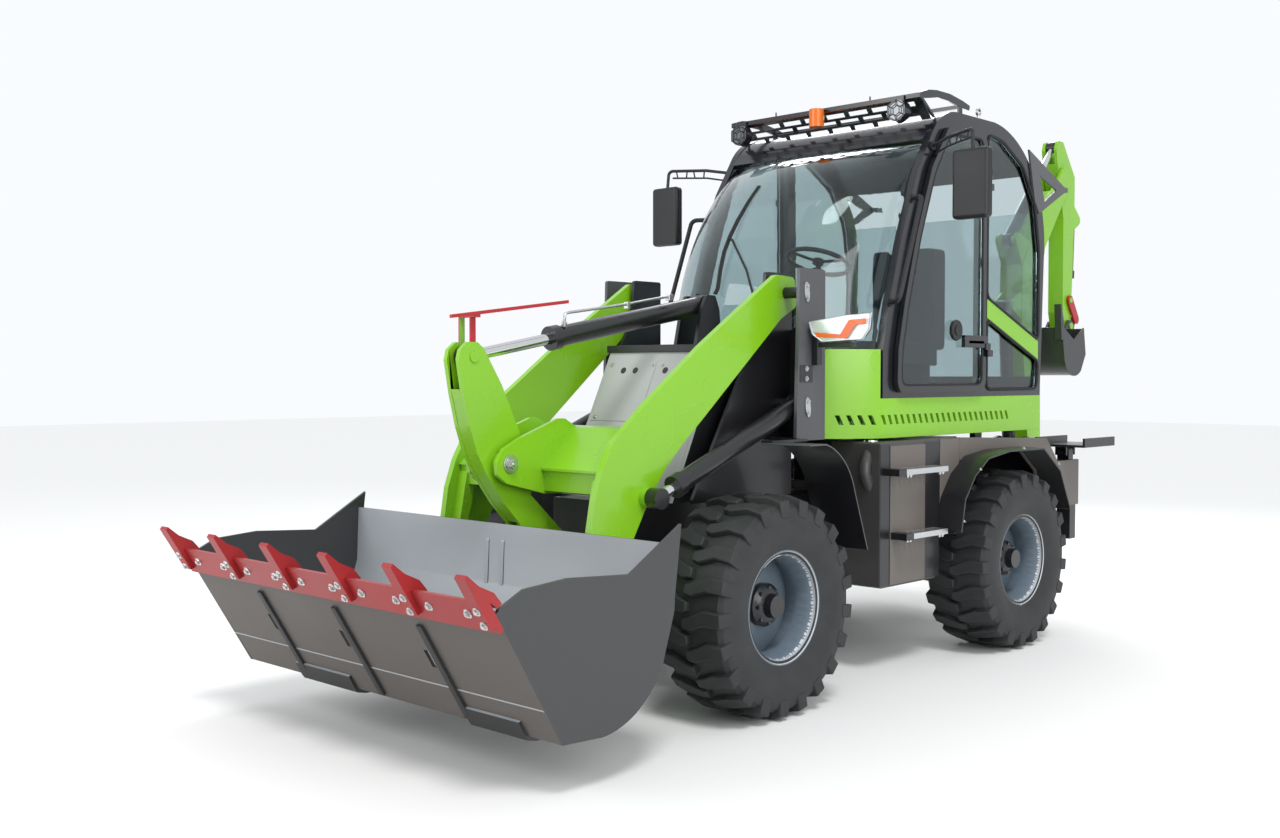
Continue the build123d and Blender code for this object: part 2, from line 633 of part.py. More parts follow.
shoe_outline = (
    edge_point(-560, 4),
    edge_point(-560, 19),
    (HEEL[0] + 22, HEEL[1] - 6),
    (HEEL[0] + 8, HEEL[1] - 24),
    (HEEL[0] - 40, HEEL[1] - 34),
    (HEEL[0] - 100, HEEL[1] - 34),
    (HEEL[0] - 140, HEEL[1] - 14),
    (HEEL[0] - 4, HEEL[1] - 4),
)
for shoe_low, shoe_high in ((-650, -210), (600, 950)):
    bucket += side_plate(shoe_outline, shoe_low, shoe_high)
nodes["loader_bucket"] = bucket

# Cutting edge with bolted teeth, laid on the floor plate's outer face
EDGE_GAP = 0.05
half_plate = BUCKET_PLATE / 2
edge_outline = (
    edge_point(EDGE_REACH - EDGE_DEPTH, half_plate + EDGE_GAP),
    edge_point(EDGE_REACH - 12, half_plate + EDGE_GAP),
    edge_point(EDGE_REACH, half_plate + EDGE_THICKNESS),
    edge_point(EDGE_REACH - EDGE_DEPTH, half_plate + EDGE_THICKNESS),
)
tooth_foot = EDGE_REACH - 110
tooth_outline = (
    edge_point(tooth_foot, half_plate + EDGE_THICKNESS),
    edge_point(tooth_foot + 4, half_plate + EDGE_THICKNESS + 24),
    edge_point(tooth_foot + TOOTH_LENGTH - 6, half_plate + EDGE_THICKNESS + 28),
    edge_point(tooth_foot + TOOTH_LENGTH, half_plate + EDGE_THICKNESS + 12),
    edge_point(EDGE_REACH + 70, half_plate + EDGE_THICKNESS - 12),
    edge_point(EDGE_REACH + 6, half_plate - 34),
    edge_point(EDGE_REACH - 50, half_plate - 44),
    edge_point(EDGE_REACH - 55, half_plate - 18),
    edge_point(EDGE_REACH - 10, half_plate + 1),
    edge_point(EDGE_REACH - 6, half_plate + EDGE_THICKNESS),
)
cutting_edge = side_plate(edge_outline, -half_bucket, half_bucket)
tooth_spacing = (BUCKET_WIDTH - TOOTH_WIDTH) / (TEETH - 1)
for number in range(TEETH):
    tooth_y = -half_bucket + TOOTH_WIDTH / 2 + number * tooth_spacing
    cutting_edge += side_plate(tooth_outline, tooth_y - TOOTH_WIDTH / 2, tooth_y + TOOTH_WIDTH / 2)
nodes["bucket_edge"] = cutting_edge

# Loader cylinders: one tilt cylinder in the middle, a lift cylinder outside each arm
tilt_barrel, tilt_rod = cylinder_pair(
    TILT_BASE_PIN, TILT_ROD_PIN, 0, (52, 28, 56, 52), gland=1140, inside=240, base_width=92, eye_width=56
)
tilt_hole = cross_pin(TILT_BASE_PIN, -60, 60, PIN_RADIUS + SHAFT_CLEARANCE)
nodes["tilt_barrel"] = tilt_barrel - tilt_hole
nodes["tilt_rod"] = tilt_rod
lift_barrel, lift_rod = cylinder_pair(
    LIFT_BASE_PIN, LIFT_ROD_PIN, LIFT_CYLINDER_Y, (48, 27, 56, 50), gland=1035, inside=870, base_width=70, eye_width=70
)
lift_hole = cross_pin(LIFT_BASE_PIN, LIFT_CYLINDER_Y - 60, LIFT_CYLINDER_Y + 60, PIN_RADIUS + SHAFT_CLEARANCE)
nodes["lift_barrels"] = separate(both_sides(lift_barrel - lift_hole))
nodes["lift_rods"] = separate(both_sides(lift_rod))

# Rear frame: two rails, front wall with the pivot's tongues, outriggers, wheel plates, slide frame
rail_high = RAIL_INNER + RAIL_PLATE
rear_frame = block(REAR_FRAME_FRONT - 15, REAR_FRAME_FRONT, -rail_high, rail_high, RAIL_BOTTOM, 1010)
rail = block(SLIDE_FRAME_FRONT, REAR_FRAME_FRONT, RAIL_INNER, rail_high, RAIL_BOTTOM, RAIL_TOP)
outriggers = [
    block(x, x + 90, rail_high, TANK_INNER, RAIL_BOTTOM + 60, RAIL_TOP)
    for x in (-640, -450)
]
cab_posts = [
    block(x, x + 90, RAIL_INNER, rail_high, RAIL_TOP, CAB_FLOOR)
    for x in (-430, -1750)
]
tongue_taper = (
    (REAR_FRAME_FRONT, -190), (REAR_FRAME_FRONT, 190), (-40, HINGE_EAR_RADIUS), (-40, -HINGE_EAR_RADIUS)
)
for level in HINGE_LEVELS:
    low = level - HINGE_EAR_THICKNESS / 2
    high = level + HINGE_EAR_THICKNESS / 2
    tongue = plan_plate(tongue_taper, low, high) + rod((0, 0, low), (0, 0, high), HINGE_EAR_RADIUS)
    tongue -= rod((0, 0, low - 1), (0, 0, high + 1), HINGE_PIN_RADIUS + SHAFT_CLEARANCE)
    rear_frame += tongue
wheel_plate_outline = (
    (TANK_REAR, TANK_TOP),
    (TANK_REAR, 1150),
    (-1000, 1190),
    (-1420, 1188),
    (-1630, 1043),
    (-1765, 790),
    (-2230, 790),
    (-2230, 1090),
    (-1930, 1090),
    (-1780, 1245),
)
wheel_plate = side_plate(wheel_plate_outline, TANK_OUTER - SIDE_PLATE, TANK_OUTER)
wheel_shelf = block(-1780, TANK_REAR, rail_high, TANK_OUTER - SIDE_PLATE, 1180, 1200)
shelf_wall = block(-1780, -1760, rail_high - 20, TANK_OUTER - SIDE_PLATE, RAIL_TOP - 100, 1200)
for piece in (rail, *outriggers, *cab_posts, wheel_plate, wheel_shelf, shelf_wall):
    for shape in both_sides(piece):
        rear_frame += shape
for z_low, z_high in ((560, 650), (990, 1080)):
    rear_frame += block(SLIDE_FRAME_REAR, SLIDE_FRAME_FRONT, -SLIDE_HALF_WIDTH, SLIDE_HALF_WIDTH, z_low, z_high)
slide_post = block(SLIDE_FRAME_REAR, SLIDE_FRAME_FRONT, SLIDE_HALF_WIDTH - 80, SLIDE_HALF_WIDTH, 560, 1080)
rail_end = block(SLIDE_FRAME_FRONT - 20, SLIDE_FRAME_FRONT, RAIL_INNER, rail_high, 560, 1080)
stabilizer_ear = block(-2262, SLIDE_FRAME_REAR, 640, 760, 570, 700)
for piece in (slide_post, rail_end, stabilizer_ear):
    for shape in both_sides(piece):
        rear_frame += shape
stabilizer_pin = rod((-2345, STABILIZER_PIN_Y, STABILIZER_PIN_Z), (-2240, STABILIZER_PIN_Y, STABILIZER_PIN_Z), 22)
for shape in both_sides(stabilizer_pin):
    rear_frame += shape
nodes["rear_frame"] = rear_frame

# Engine: one plain block between the rails, under the cab
nodes["engine_block"] = block(-1500, -620, -RAIL_INNER, RAIL_INNER, 760, 1250)

# Fuel and oil tanks, one on each side behind the front wheels, with the filler neck on the left
tank_outline = (
    (TANK_FRONT, TANK_BOTTOM),
    (-440, TANK_BOTTOM),
    (-455, 770),
    (-500, 950),
    (-600, 1070),
    (TANK_REAR, 1150),
    (TANK_REAR, TANK_TOP),
    (TANK_FRONT, TANK_TOP),
)
tank = side_plate(tank_outline, TANK_INNER, TANK_OUTER, 18)
tanks = both_sides(tank)
filler_neck = bent_tube(((105, 745, 1030), (158, 745, 1110), (150, 742, 1165), (80, 727, 1258)), 30, 40)
filler_cap = rod((77, 725, 1254), (73, 724, 1290), 40)
tanks[0] += filler_neck + filler_cap

# Steps: two toothed treads on each tank
for step_z, step_front in ((755, 25), (1108, 100)):
    tread = block(-400, step_front, TANK_OUTER, TANK_OUTER + 105, step_z, step_z + 30)
    slot_count = int((step_front + 390) / 52)
    for slot in range(slot_count):
        slot_x = -384 + slot * 52
        tread -= block(slot_x, slot_x + 30, TANK_OUTER + 20, TANK_OUTER + 85, step_z - 1, step_z + 31)
    tanks[0] += tread
    tanks[1] += other_side(tread)
nodes["side_tanks"] = separate(tanks)

# Rear fenders: arched flares outside the wheel plates
flare_path = Polyline(
    (-450, 760), (-492, 945), (-600, 1075), (-750, 1168), (-1000, 1200), (-1420, 1198), (-1640, 1050), (-1780, 800)
)
flare_face = trace(flare_path, 12)
flare = extrude(Plane.XZ.offset(-(TANK_OUTER + 165)) * flare_face, amount=165)
nodes["rear_fenders"] = separate(both_sides(flare))

# Cab base: floor, curved nose panel, side and rear panels, and the slanted band behind each door
nose_middle = ThreePointArc((0, CAB_HALF_WIDTH), (NOSE_REACH, 0), (0, -CAB_HALF_WIDTH))
plan_outline = nose_middle + Polyline(
    (0, -CAB_HALF_WIDTH), (CAB_REAR + 40, -CAB_HALF_WIDTH), (CAB_REAR + 40, CAB_HALF_WIDTH), (0, CAB_HALF_WIDTH)
)
plan_face = make_face(plan_outline)
inner_plan = offset(plan_face, -PANEL)
cab_base = extrude(Pos(0, 0, CAB_FLOOR) * plan_face, amount=30)
cab_base += extrude(Pos(0, 0, CAB_FLOOR) * (plan_face - inner_plan), amount=CAB_SILL - CAB_FLOOR)
nose_ring = extrude(Pos(0, 0, CAB_SILL) * (plan_face - inner_plan), amount=NOSE_TOP - CAB_SILL)
nose_ring -= block(CAB_REAR, 12, -CAB_HALF_WIDTH - 10, CAB_HALF_WIDTH + 10, CAB_SILL - 1, NOSE_TOP + 1)
cab_base += nose_ring
vent_count = 23
vent_outline = ((0, 1376), (-26, 1376), (-2, 1428), (24, 1428))
vent_cut = side_plate(vent_outline, CAB_HALF_WIDTH - PANEL - 5, CAB_HALF_WIDTH + 5)
vent_cuts = [Pos(-14 - number * 62, 0, 0) * vent_cut for number in range(vent_count)]
nose_radius = (CAB_HALF_WIDTH ** 2 + NOSE_REACH ** 2) / (2 * NOSE_REACH)
nose_centre_x = NOSE_REACH - nose_radius
nose_start = degrees(atan2(CAB_HALF_WIDTH, -nose_centre_x))
nose_cut = side_plate(vent_outline, nose_radius - PANEL - 5, nose_radius + 5)
for number in range(4):
    vent_cuts.append(Pos(nose_centre_x, 0, 0) * Rot(0, 0, nose_start - 94.5 - number * 4.3) * nose_cut)
for slot_cut in vent_cuts:
    cab_base -= slot_cut
    cab_base -= other_side(slot_cut)
nodes["cab_base"] = cab_base

# Cab frame: a formed side frame each side, the roof skin, the header and the rear cross members
side_outline = Polyline(
    (0, CAB_SILL), (0, NOSE_TOP), (-60, 2050), (-185, 2430), (-340, 2800), (-500, 3050)
)
side_outline += ThreePointArc((-500, 3050), (-610, 3150), (-780, CAB_ROOF))
side_outline += Line((-780, CAB_ROOF), (-1200, CAB_ROOF))
side_outline += ThreePointArc((-1200, CAB_ROOF), (-1680, 2950), (CAB_REAR, 2400))
side_outline += Polyline((CAB_REAR, 2400), (CAB_REAR + 40, CAB_SILL), (0, CAB_SILL))
side_face = make_face(side_outline)
door_outline = (
    (-95, CAB_SILL + 30),
    (DOOR_REAR, CAB_SILL + 30),
    (DOOR_REAR, 3105),
    (-620, 3085),
    (-440, 2830),
    (-285, 2440),
    (-165, 2050),
    (-105, NOSE_TOP),
)
upper_window = (
    (PILLAR_REAR, 2120),
    (PILLAR_REAR, 3110),
    (-1300, 3090),
    (-1560, 2960),
    (-1720, 2740),
    (CAB_REAR + 70, 2440),
    (CAB_REAR + 70, 1870),
)
lower_window = (
    (PILLAR_REAR, 1560),
    (PILLAR_REAR, 1990),
    (CAB_REAR + 70, 1740),
    (CAB_REAR + 90, 1560),
)


def opening(outline, shrink, corner):
    face = make_face(Polyline(*outline, close=True))
    if shrink:
        face = offset(face, -shrink, kind=Kind.INTERSECTION)
    return fillet(face.vertices(), corner)


frame_face = side_face - opening(door_outline, 25, 60)
frame_face -= opening(upper_window, 0, 40)
frame_face -= opening(lower_window, 0, 40)
frame_low = CAB_HALF_WIDTH - FRAME_DEPTH
side_frame = extrude(Plane.XZ.offset(-CAB_HALF_WIDTH) * frame_face, amount=FRAME_DEPTH)
cab_frame = side_frame + other_side(side_frame)
roof_line = Polyline((-470, 2990), (-505, 3030))
roof_line += ThreePointArc((-505, 3030), (-620, 3133), (-785, CAB_ROOF - 16))
roof_line += Line((-785, CAB_ROOF - 16), (-1200, CAB_ROOF - 16))
roof_line += ThreePointArc((-1200, CAB_ROOF - 16), (-1500, 3095), (-1680, 2925))
roof_face = trace(roof_line, 30)
cab_frame += extrude(Plane.XZ.offset(-frame_low) * roof_face, amount=2 * frame_low)
cab_frame += block(CAB_REAR + 8, CAB_REAR + 60, -frame_low, frame_low, CAB_SILL, CAB_SILL + 120)
DOOR_AXIS = (DOOR_REAR - 4, CAB_HALF_WIDTH + 48)
HINGE_LEVELS_DOOR = (1800, 2800)
for hinge_z in HINGE_LEVELS_DOOR:
    axis_x, axis_y = DOOR_AXIS
    knuckle = rod((axis_x, axis_y, hinge_z - 40), (axis_x, axis_y, hinge_z), 13)
    knuckle += block(axis_x - 40, axis_x, CAB_HALF_WIDTH, axis_y + 8, hinge_z - 40, hinge_z)
    knuckle += rod((axis_x, axis_y, hinge_z), (axis_x, axis_y, hinge_z + 42), 6)
    for shape in both_sides(knuckle):
        cab_frame += shape
rear_bracket = side_plate(((-1619, 3075), (-2146, 2869), (-1761, 2684), (-1700, 2760)), CAB_HALF_WIDTH, CAB_HALF_WIDTH + 12)
rear_bracket -= side_plate(((-1765, 2925), (-1990, 2855), (-1830, 2765)), CAB_HALF_WIDTH - 1, CAB_HALF_WIDTH + 13)
rear_bracket += block(-2150, -2100, CAB_HALF_WIDTH - 40, CAB_HALF_WIDTH + 12, 2855, 2885)
eye_x, eye_y, eye_z = ROOF_EYE
roof_eye = cross_pin((eye_x, eye_z), eye_y - ROOF_EYE_WIDTH / 2, eye_y + ROOF_EYE_WIDTH / 2, ROOF_EYE_OUTER)
roof_eye += rod((eye_x, eye_y, CAB_ROOF - 12), (eye_x, eye_y, eye_z - ROOF_EYE_HOLE - 3), 9)
roof_eye += rod((eye_x, eye_y, CAB_ROOF - 12), (eye_x, eye_y, CAB_ROOF + 9), 20)
roof_eye -= cross_pin((eye_x, eye_z), eye_y - ROOF_EYE_WIDTH, eye_y + ROOF_EYE_WIDTH, ROOF_EYE_HOLE)
for piece in (rear_bracket, roof_eye):
    for shape in both_sides(piece):
        cab_frame += shape
nodes["cab_frame"] = cab_frame

# Cab glass: curved windscreen, rear window, and the fixed panes behind the doors
screen_levels = (
    # level, corner x, middle x
    (NOSE_TOP, -14, NOSE_REACH),
    (2130, -98, 478),
    (2430, -200, 360),
    (2720, -318, 144),
    (2972, -474, -362),
)


def screen_section(level, corner_x, middle_x):
    outer = ThreePointArc((corner_x, frame_low - 2), (middle_x, 0), (corner_x, -frame_low + 2))
    inner = ThreePointArc((corner_x - 9, frame_low - 2), (middle_x - 9, 0), (corner_x - 9, -frame_low + 2))
    ends = Line(outer @ 0, inner @ 0) + Line(outer @ 1, inner @ 1)
    return Pos(0, 0, level) * make_face(outer + inner + ends)


windscreen = loft([screen_section(*row) for row in screen_levels])
side_panes = []
for outline in (upper_window, lower_window):
    pane_face = opening(outline, 0.3, 39)
    pane = extrude(Plane.XZ.offset(-(CAB_HALF_WIDTH - 15)) * pane_face, amount=GLASS)
    side_panes += both_sides(pane)
rear_pane = block(CAB_REAR + 22, CAB_REAR + 28, -frame_low + 0.3, frame_low - 0.3, CAB_SILL + 120.3, 2700)
nodes["cab_glass"] = separate([windscreen, rear_pane, *side_panes])

# Doors: a pressed frame with round corners, its pane and lock, hung on the post behind it
for name, side in LEFT_RIGHT:
    door_low = CAB_HALF_WIDTH + DOOR_GAP
    door_high = door_low + DOOR_THICKNESS
    outer_face = opening(door_outline, 0, 70)
    pane_face = opening(door_outline, 42, 45)
    leaf = extrude(Plane.XZ.offset(-door_high) * (outer_face - pane_face), amount=DOOR_THICKNESS)
    for hinge_z in HINGE_LEVELS_DOOR:
        axis_x, axis_y = DOOR_AXIS
        strap = block(axis_x, DOOR_REAR + 36, door_high, axis_y + 8, hinge_z + 1, hinge_z + 40)
        strap += rod((axis_x, axis_y, hinge_z + 1), (axis_x, axis_y, hinge_z + 40), 13)
        leaf += strap - rod((axis_x, axis_y, hinge_z), (axis_x, axis_y, hinge_z + 41), 6.3)
    leaf += block(-1052, -786, door_low + 21, door_high + 16, 1812, 1884)
    pane = extrude(
        Plane.XZ.offset(-(door_low + 14)) * opening(door_outline, 42.3, 46), amount=GLASS
    )
    nodes[f"{name}_door"] = leaf if side > 0 else other_side(leaf)
    nodes[f"{name}_door_glass"] = pane if side > 0 else other_side(pane)

# Roof rack: a punched sheet slanting down from its front bar, an arched plate at each end, a rear bar,
# two round lamps in front of the sheet and the beacon under the bar
RACK_FRONT = (-437, CAB_ROOF + 76)
RACK_HALF_WIDTH = CAB_HALF_WIDTH - 50
SHEET_LENGTH = 150
front_x, front_z = RACK_FRONT
rack = block(front_x - 34, front_x, -RACK_HALF_WIDTH, RACK_HALF_WIDTH, front_z - 26, front_z)
sheet = block(-SHEET_LENGTH, 0, -RACK_HALF_WIDTH, RACK_HALF_WIDTH, -3, 3)
for row in range(3):
    slot_x = -22 - row * 48
    shift = 0 if row % 2 else 82
    for column in range(-4, 4 + row % 2):
        slot_y = column * 164 + shift
        if abs(slot_y) < RACK_HALF_WIDTH - 70:
            sheet -= block(slot_x - 32, slot_x, slot_y - 66, slot_y + 66, -4, 4)
rack += Pos(front_x - 20, 0, front_z - 22) * Rot(0, -48, 0) * sheet
arch_outline = (
    (front_x, front_z - 30),
    (front_x, front_z),
    (front_x - 90, front_z + 28),
    (front_x - 182, front_z + 39),
    (front_x - 330, front_z + 39),
    (front_x - 480, front_z + 18),
    (front_x - 556, front_z + 1),
    (front_x - 550, front_z - 28),
    (front_x - 470, front_z - 26),
    (front_x - 330, front_z - 6),
    (front_x - 190, front_z - 2),
    (front_x - 80, front_z - 22),
)
arch = side_plate(arch_outline, RACK_HALF_WIDTH - 12, RACK_HALF_WIDTH, 4)
arch_foot = block(front_x - 470, front_x - 430, RACK_HALF_WIDTH - 12, RACK_HALF_WIDTH, CAB_ROOF - 1, front_z - 10)
strut = side_plate(
    (
        (front_x - 20, front_z - 12), (front_x, front_z - 20), (front_x - 150, CAB_ROOF - 44),
        (front_x - 174, CAB_ROOF - 44),
    ),
    RACK_HALF_WIDTH - 12, RACK_HALF_WIDTH,
)
lamp_z = CAB_ROOF - 22
lamp_drum = rod((front_x + 6, 584, lamp_z), (front_x + 66, 584, lamp_z), 62)
lamp_drum += block(front_x - 30, front_x + 12, 569, 599, lamp_z + 30, front_z - 4)
for piece in (arch, arch_foot, strut, lamp_drum):
    for shape in both_sides(piece):
        rack += shape
rack += block(front_x - 520, front_x - 490, -RACK_HALF_WIDTH + 6, RACK_HALF_WIDTH - 6, front_z - 20, front_z + 4)
for pin_y in (-350, 350):
    rack += rod((front_x - 16, pin_y, front_z - 4), (front_x - 16, pin_y, front_z + 26), 5)
rack += rod((front_x + 36, 0, CAB_ROOF - 40), (front_x + 36, 0, CAB_ROOF + 67), 45)
rack += block(front_x - 20, front_x + 60, -30, 30, CAB_ROOF + 60, CAB_ROOF + 68)
nodes["roof_rack"] = rack

# Mirrors on long arms, and the grab rail beside each door
mirror_line = ((-490, CAB_HALF_WIDTH + 4, 2960), (-420, 900, 2985), (-300, 1120, 2990), (-290, 1125, 2860))
mirror_arm = bent_tube(mirror_line, 10, 30)
mirror_head = block(-325, -255, 1015, 1235, 2500, 2880)
mirror_head = fillet(mirror_head.edges(), 22)
grab_rail = bent_tube(
    ((-275, CAB_HALF_WIDTH + 4, 2640), (-225, 850, 2640), (0, 850, 2050), (-60, CAB_HALF_WIDTH + 4, 2050)), 14, 40
)
fittings = []
mirror_arm += rod((-490, CAB_HALF_WIDTH, 2960), (-490, CAB_HALF_WIDTH + 12, 2960), 26)
for foot_x, foot_z in ((-275, 2640), (-60, 2050)):
    grab_rail += rod((foot_x, CAB_HALF_WIDTH, foot_z), (foot_x, CAB_HALF_WIDTH + 12, foot_z), 26)
for piece in (mirror_arm + mirror_head, grab_rail):
    fittings += both_sides(piece)
nodes["mirrors_and_rails"] = separate(fittings)

# Driver's seat on its box, and the steering console
seat = block(-1380, -980, -220, 220, CAB_FLOOR + 30, 1720)
seat += fillet(block(-1400, -900, -250, 250, 1720, 1860).edges(), 40)
seat += fillet(block(-1480, -1350, -240, 240, 1800, 2480).edges(), 40)
nodes["seat"] = seat
wheel_axis = Plane(origin=(-420, 0, 2337), z_dir=(-0.35, 0, 0.94))
column_foot = wheel_axis.from_local_coords((0, 0, -330))
column_head = wheel_axis.from_local_coords((0, 0, -50))
shaft_end = wheel_axis.from_local_coords((0, 0, 6))
console = block(-60, 120, -160, 160, CAB_FLOOR + 30, 1850)
console += rod((30, 0, 1830), tuple(column_foot), 32)
console += Pos(*column_foot) * Sphere(36)
console += rod(tuple(column_foot), tuple(column_head), 30)
console += rod(tuple(column_foot), tuple(shaft_end), 10)
nodes["steering_console"] = console
steering_wheel = wheel_axis * Torus(190, 14) + wheel_axis * Cylinder(34, 30)
for spoke in range(3):
    angle = radians(90 + spoke * 120)
    tip = wheel_axis.from_local_coords((185 * cos(angle), 185 * sin(angle), 0))
    steering_wheel += rod(wheel_axis.origin, tip, 9)
steering_wheel -= wheel_axis * Pos(0, 0, -6) * Cylinder(10.3, 28)
nodes["steering_wheel"] = steering_wheel

# Backhoe carriage: a plate that slides along the two rails of the slide frame, with the king post ears
carriage_front = SLIDE_FRAME_REAR - 0.5
carriage = block(
    carriage_front - 40, carriage_front, HOE_Y - CARRIAGE_HALF_WIDTH, HOE_Y + CARRIAGE_HALF_WIDTH, 540, 1095
)
for z_low, z_high in ((600, 640), (960, 1000)):
    ear = block(SWING_X, carriage_front - 40, HOE_Y - 78, HOE_Y + 78, z_low, z_high)
    ear += rod((SWING_X, HOE_Y, z_low), (SWING_X, HOE_Y, z_high), 78)
    carriage += ear
carriage += rod((SWING_X, HOE_Y, 570), (SWING_X, HOE_Y, 1004), 38)
nodes["slide_carriage"] = carriage

# Swing post: turns on the king pin and carries the boom's foot and the boom cylinder
boom_x, boom_z = BOOM_FOOT_PIN
boom_base_x, boom_base_z = BOOM_BASE_PIN
king_hole = rod((SWING_X, HOE_Y, 590), (SWING_X, HOE_Y, 1010), 38 + SHAFT_CLEARANCE)
casting = plan_plate(
    (
        (SWING_X, HOE_Y - 60), (SWING_X - 70, HOE_Y - 88), (SWING_X - 108, HOE_Y - 108),
        (SWING_X - 125, HOE_Y - 117), (boom_x - 62, HOE_Y - 117), (boom_x - 62, HOE_Y + 117),
        (SWING_X - 125, HOE_Y + 117), (SWING_X - 108, HOE_Y + 108), (SWING_X - 70, HOE_Y + 88),
        (SWING_X, HOE_Y + 60),
    ),
    700, 955,
)
casting -= block(boom_x - 100, SWING_X - 98, HOE_Y - 92, HOE_Y + 92, 690, 960)
swing_post = rod((SWING_X, HOE_Y, 645), (SWING_X, HOE_Y, 955), 74) + casting
post_cheek = side_plate(
    (
        (SWING_X - 126, 820), (boom_x - 40, 820), (boom_x - 66, 900), (boom_x - 60, 1000),
        (-2500, 1190), (boom_base_x - 40, 1222), (boom_base_x + 40, 1205), (boom_base_x + 45, 1112),
        (SWING_X - 126, 1106),
    ),
    HOE_Y + 92, HOE_Y + 117,
)
swing_post += post_cheek + mirror(post_cheek, about=Plane.XZ.offset(-HOE_Y))
swing_post -= king_hole
swing_post += cross_pin(BOOM_FOOT_PIN, HOE_Y - 117, HOE_Y + 117, PIN_RADIUS)
swing_post += cross_pin(BOOM_BASE_PIN, HOE_Y - 117, HOE_Y + 117, PIN_RADIUS)
nodes["swing_post"] = swing_post


def hoe_plate(outline, y_low, y_high, corner=0, holes=()):
    """A backhoe plate, with its width measured from the backhoe's own middle."""
    return side_plate(outline, HOE_Y + y_low, HOE_Y + y_high, corner, holes)


# Boom: a bent box section that forks round the dipper at its top
dipper_x, dipper_z = DIPPER_PIN
boom_rod_x, boom_rod_z = BOOM_ROD_PIN
boom_outline = (
    (boom_x + 10, boom_z - 75),
    (boom_x + 75, boom_z - 10),
    (-2340, 2000),
    (-2350, 2420),
    (-2520, 2680),
    (dipper_x + 60, dipper_z + 70),
    (dipper_x - 40, dipper_z + 50),
    (dipper_x - 50, dipper_z - 40),
    (-2680, 2560),
    (-2600, 2300),
    (boom_x - 75, boom_z + 10),
    (boom_x - 50, boom_z - 60),
)
boom_holes = ((boom_x, boom_z, PIN_RADIUS + SHAFT_CLEARANCE),)
boom = hoe_plate(boom_outline, -86, 86, 15, boom_holes)
boom_fork = (
    (dipper_x + 280, dipper_z + 140),
    (dipper_x + 200, dipper_z - 290),
    (dipper_x + 90, dipper_z - 290),
    (dipper_x - 200, dipper_z - 160),
    (dipper_x - 200, dipper_z + 200),
)
boom -= hoe_plate(boom_fork, -64, 64)
boom += cross_pin(DIPPER_PIN, HOE_Y - 86, HOE_Y + 86, PIN_RADIUS)
boom_ear = link_plate(((boom_rod_x, boom_rod_z, 42), (-2380, 2040, 20), (-2380, 2230, 20)), HOE_Y + 58, HOE_Y + 80)
dipper_base_x, dipper_base_z = DIPPER_BASE_PIN
top_ear = link_plate(
    ((dipper_base_x, dipper_base_z, 45), (-2385, 2400, 20), (-2470, 2560, 20)), HOE_Y + 58, HOE_Y + 80
)
for ear in (boom_ear, top_ear):
    boom += ear + mirror(ear, about=Plane.XZ.offset(-HOE_Y))
boom += cross_pin(DIPPER_BASE_PIN, HOE_Y - 80, HOE_Y + 80, PIN_RADIUS)
nodes["boom"] = boom

# Dipper: a tapered box with the cylinder lever above its pin and the bucket pin below
rod_x, rod_z = DIPPER_ROD_PIN
hoe_pin_x, hoe_pin_z = HOE_BUCKET_PIN
dipper_outline = (
    (dipper_x + 78, dipper_z - 40),
    (rod_x + 55, rod_z - 20),
    (rod_x + 30, rod_z + 42),
    (rod_x - 50, rod_z + 42),
    (dipper_x - 165, dipper_z + 20),
    (dipper_x - 165, dipper_z - 260),
    (hoe_pin_x - 60, hoe_pin_z + 90),
    (hoe_pin_x - 50, hoe_pin_z - 10),
    (hoe_pin_x - 20, hoe_pin_z - 50),
    (hoe_pin_x + 30, hoe_pin_z - 46),
    (hoe_pin_x + 72, hoe_pin_z + 100),
    (dipper_x + 10, dipper_z - 300),
)
dipper_holes = ((dipper_x, dipper_z, PIN_RADIUS + SHAFT_CLEARANCE),)
dipper = hoe_plate(dipper_outline, -58, 58, 15, dipper_holes)
dipper -= cross_pin(DIPPER_ROD_PIN, HOE_Y - 36, HOE_Y + 36, 125)
hoe_base_x, hoe_base_z = HOE_BASE_PIN
base_ear = link_plate(
    ((hoe_base_x, hoe_base_z, 38), (dipper_x - 140, dipper_z - 200, 20), (dipper_x - 135, dipper_z - 360, 20)),
    HOE_Y + 40, HOE_Y + 58,
)
dipper += base_ear + mirror(base_ear, about=Plane.XZ.offset(-HOE_Y))
dipper += cross_pin(HOE_BASE_PIN, HOE_Y - 58, HOE_Y + 58, 16)
dipper += cross_pin(HOE_BUCKET_PIN, HOE_Y - 94, HOE_Y + 94, 24)
dipper += cross_pin(HOE_LEVER_PIN, HOE_Y - 82, HOE_Y + 82, 20)
nodes["dipper"] = dipper

# Bucket lever and link: two side bars on the dipper, and the bar that turns the bucket
lever_x, lever_z = HOE_LEVER_PIN
hoe_rod_x, hoe_rod_z = HOE_ROD_PIN
link_end_x, link_end_z = HOE_LINK_PIN
lever = link_plate(
    ((lever_x, lever_z, 36), (hoe_rod_x, hoe_rod_z, 34)), HOE_Y + 62, HOE_Y + 78,
    ((lever_x, lever_z, 20 + SHAFT_CLEARANCE),),
)
lever += mirror(lever, about=Plane.XZ.offset(-HOE_Y))
for y_low, y_high in ((33, 80), (-80, -33)):
    lever += cross_pin(HOE_ROD_PIN, HOE_Y + y_low, HOE_Y + y_high, 16)
nodes["hoe_lever"] = lever
hoe_link = link_plate(
    ((hoe_rod_x, hoe_rod_z, 26), (link_end_x, link_end_z, 28)), HOE_Y + 36, HOE_Y + 56,
    ((hoe_rod_x, hoe_rod_z, 16 + SHAFT_CLEARANCE),),
)
hoe_link += mirror(hoe_link, about=Plane.XZ.offset(-HOE_Y))
hoe_link += cross_pin(HOE_LINK_PIN, HOE_Y - 56, HOE_Y + 56, 20)
nodes["hoe_link"] = hoe_link

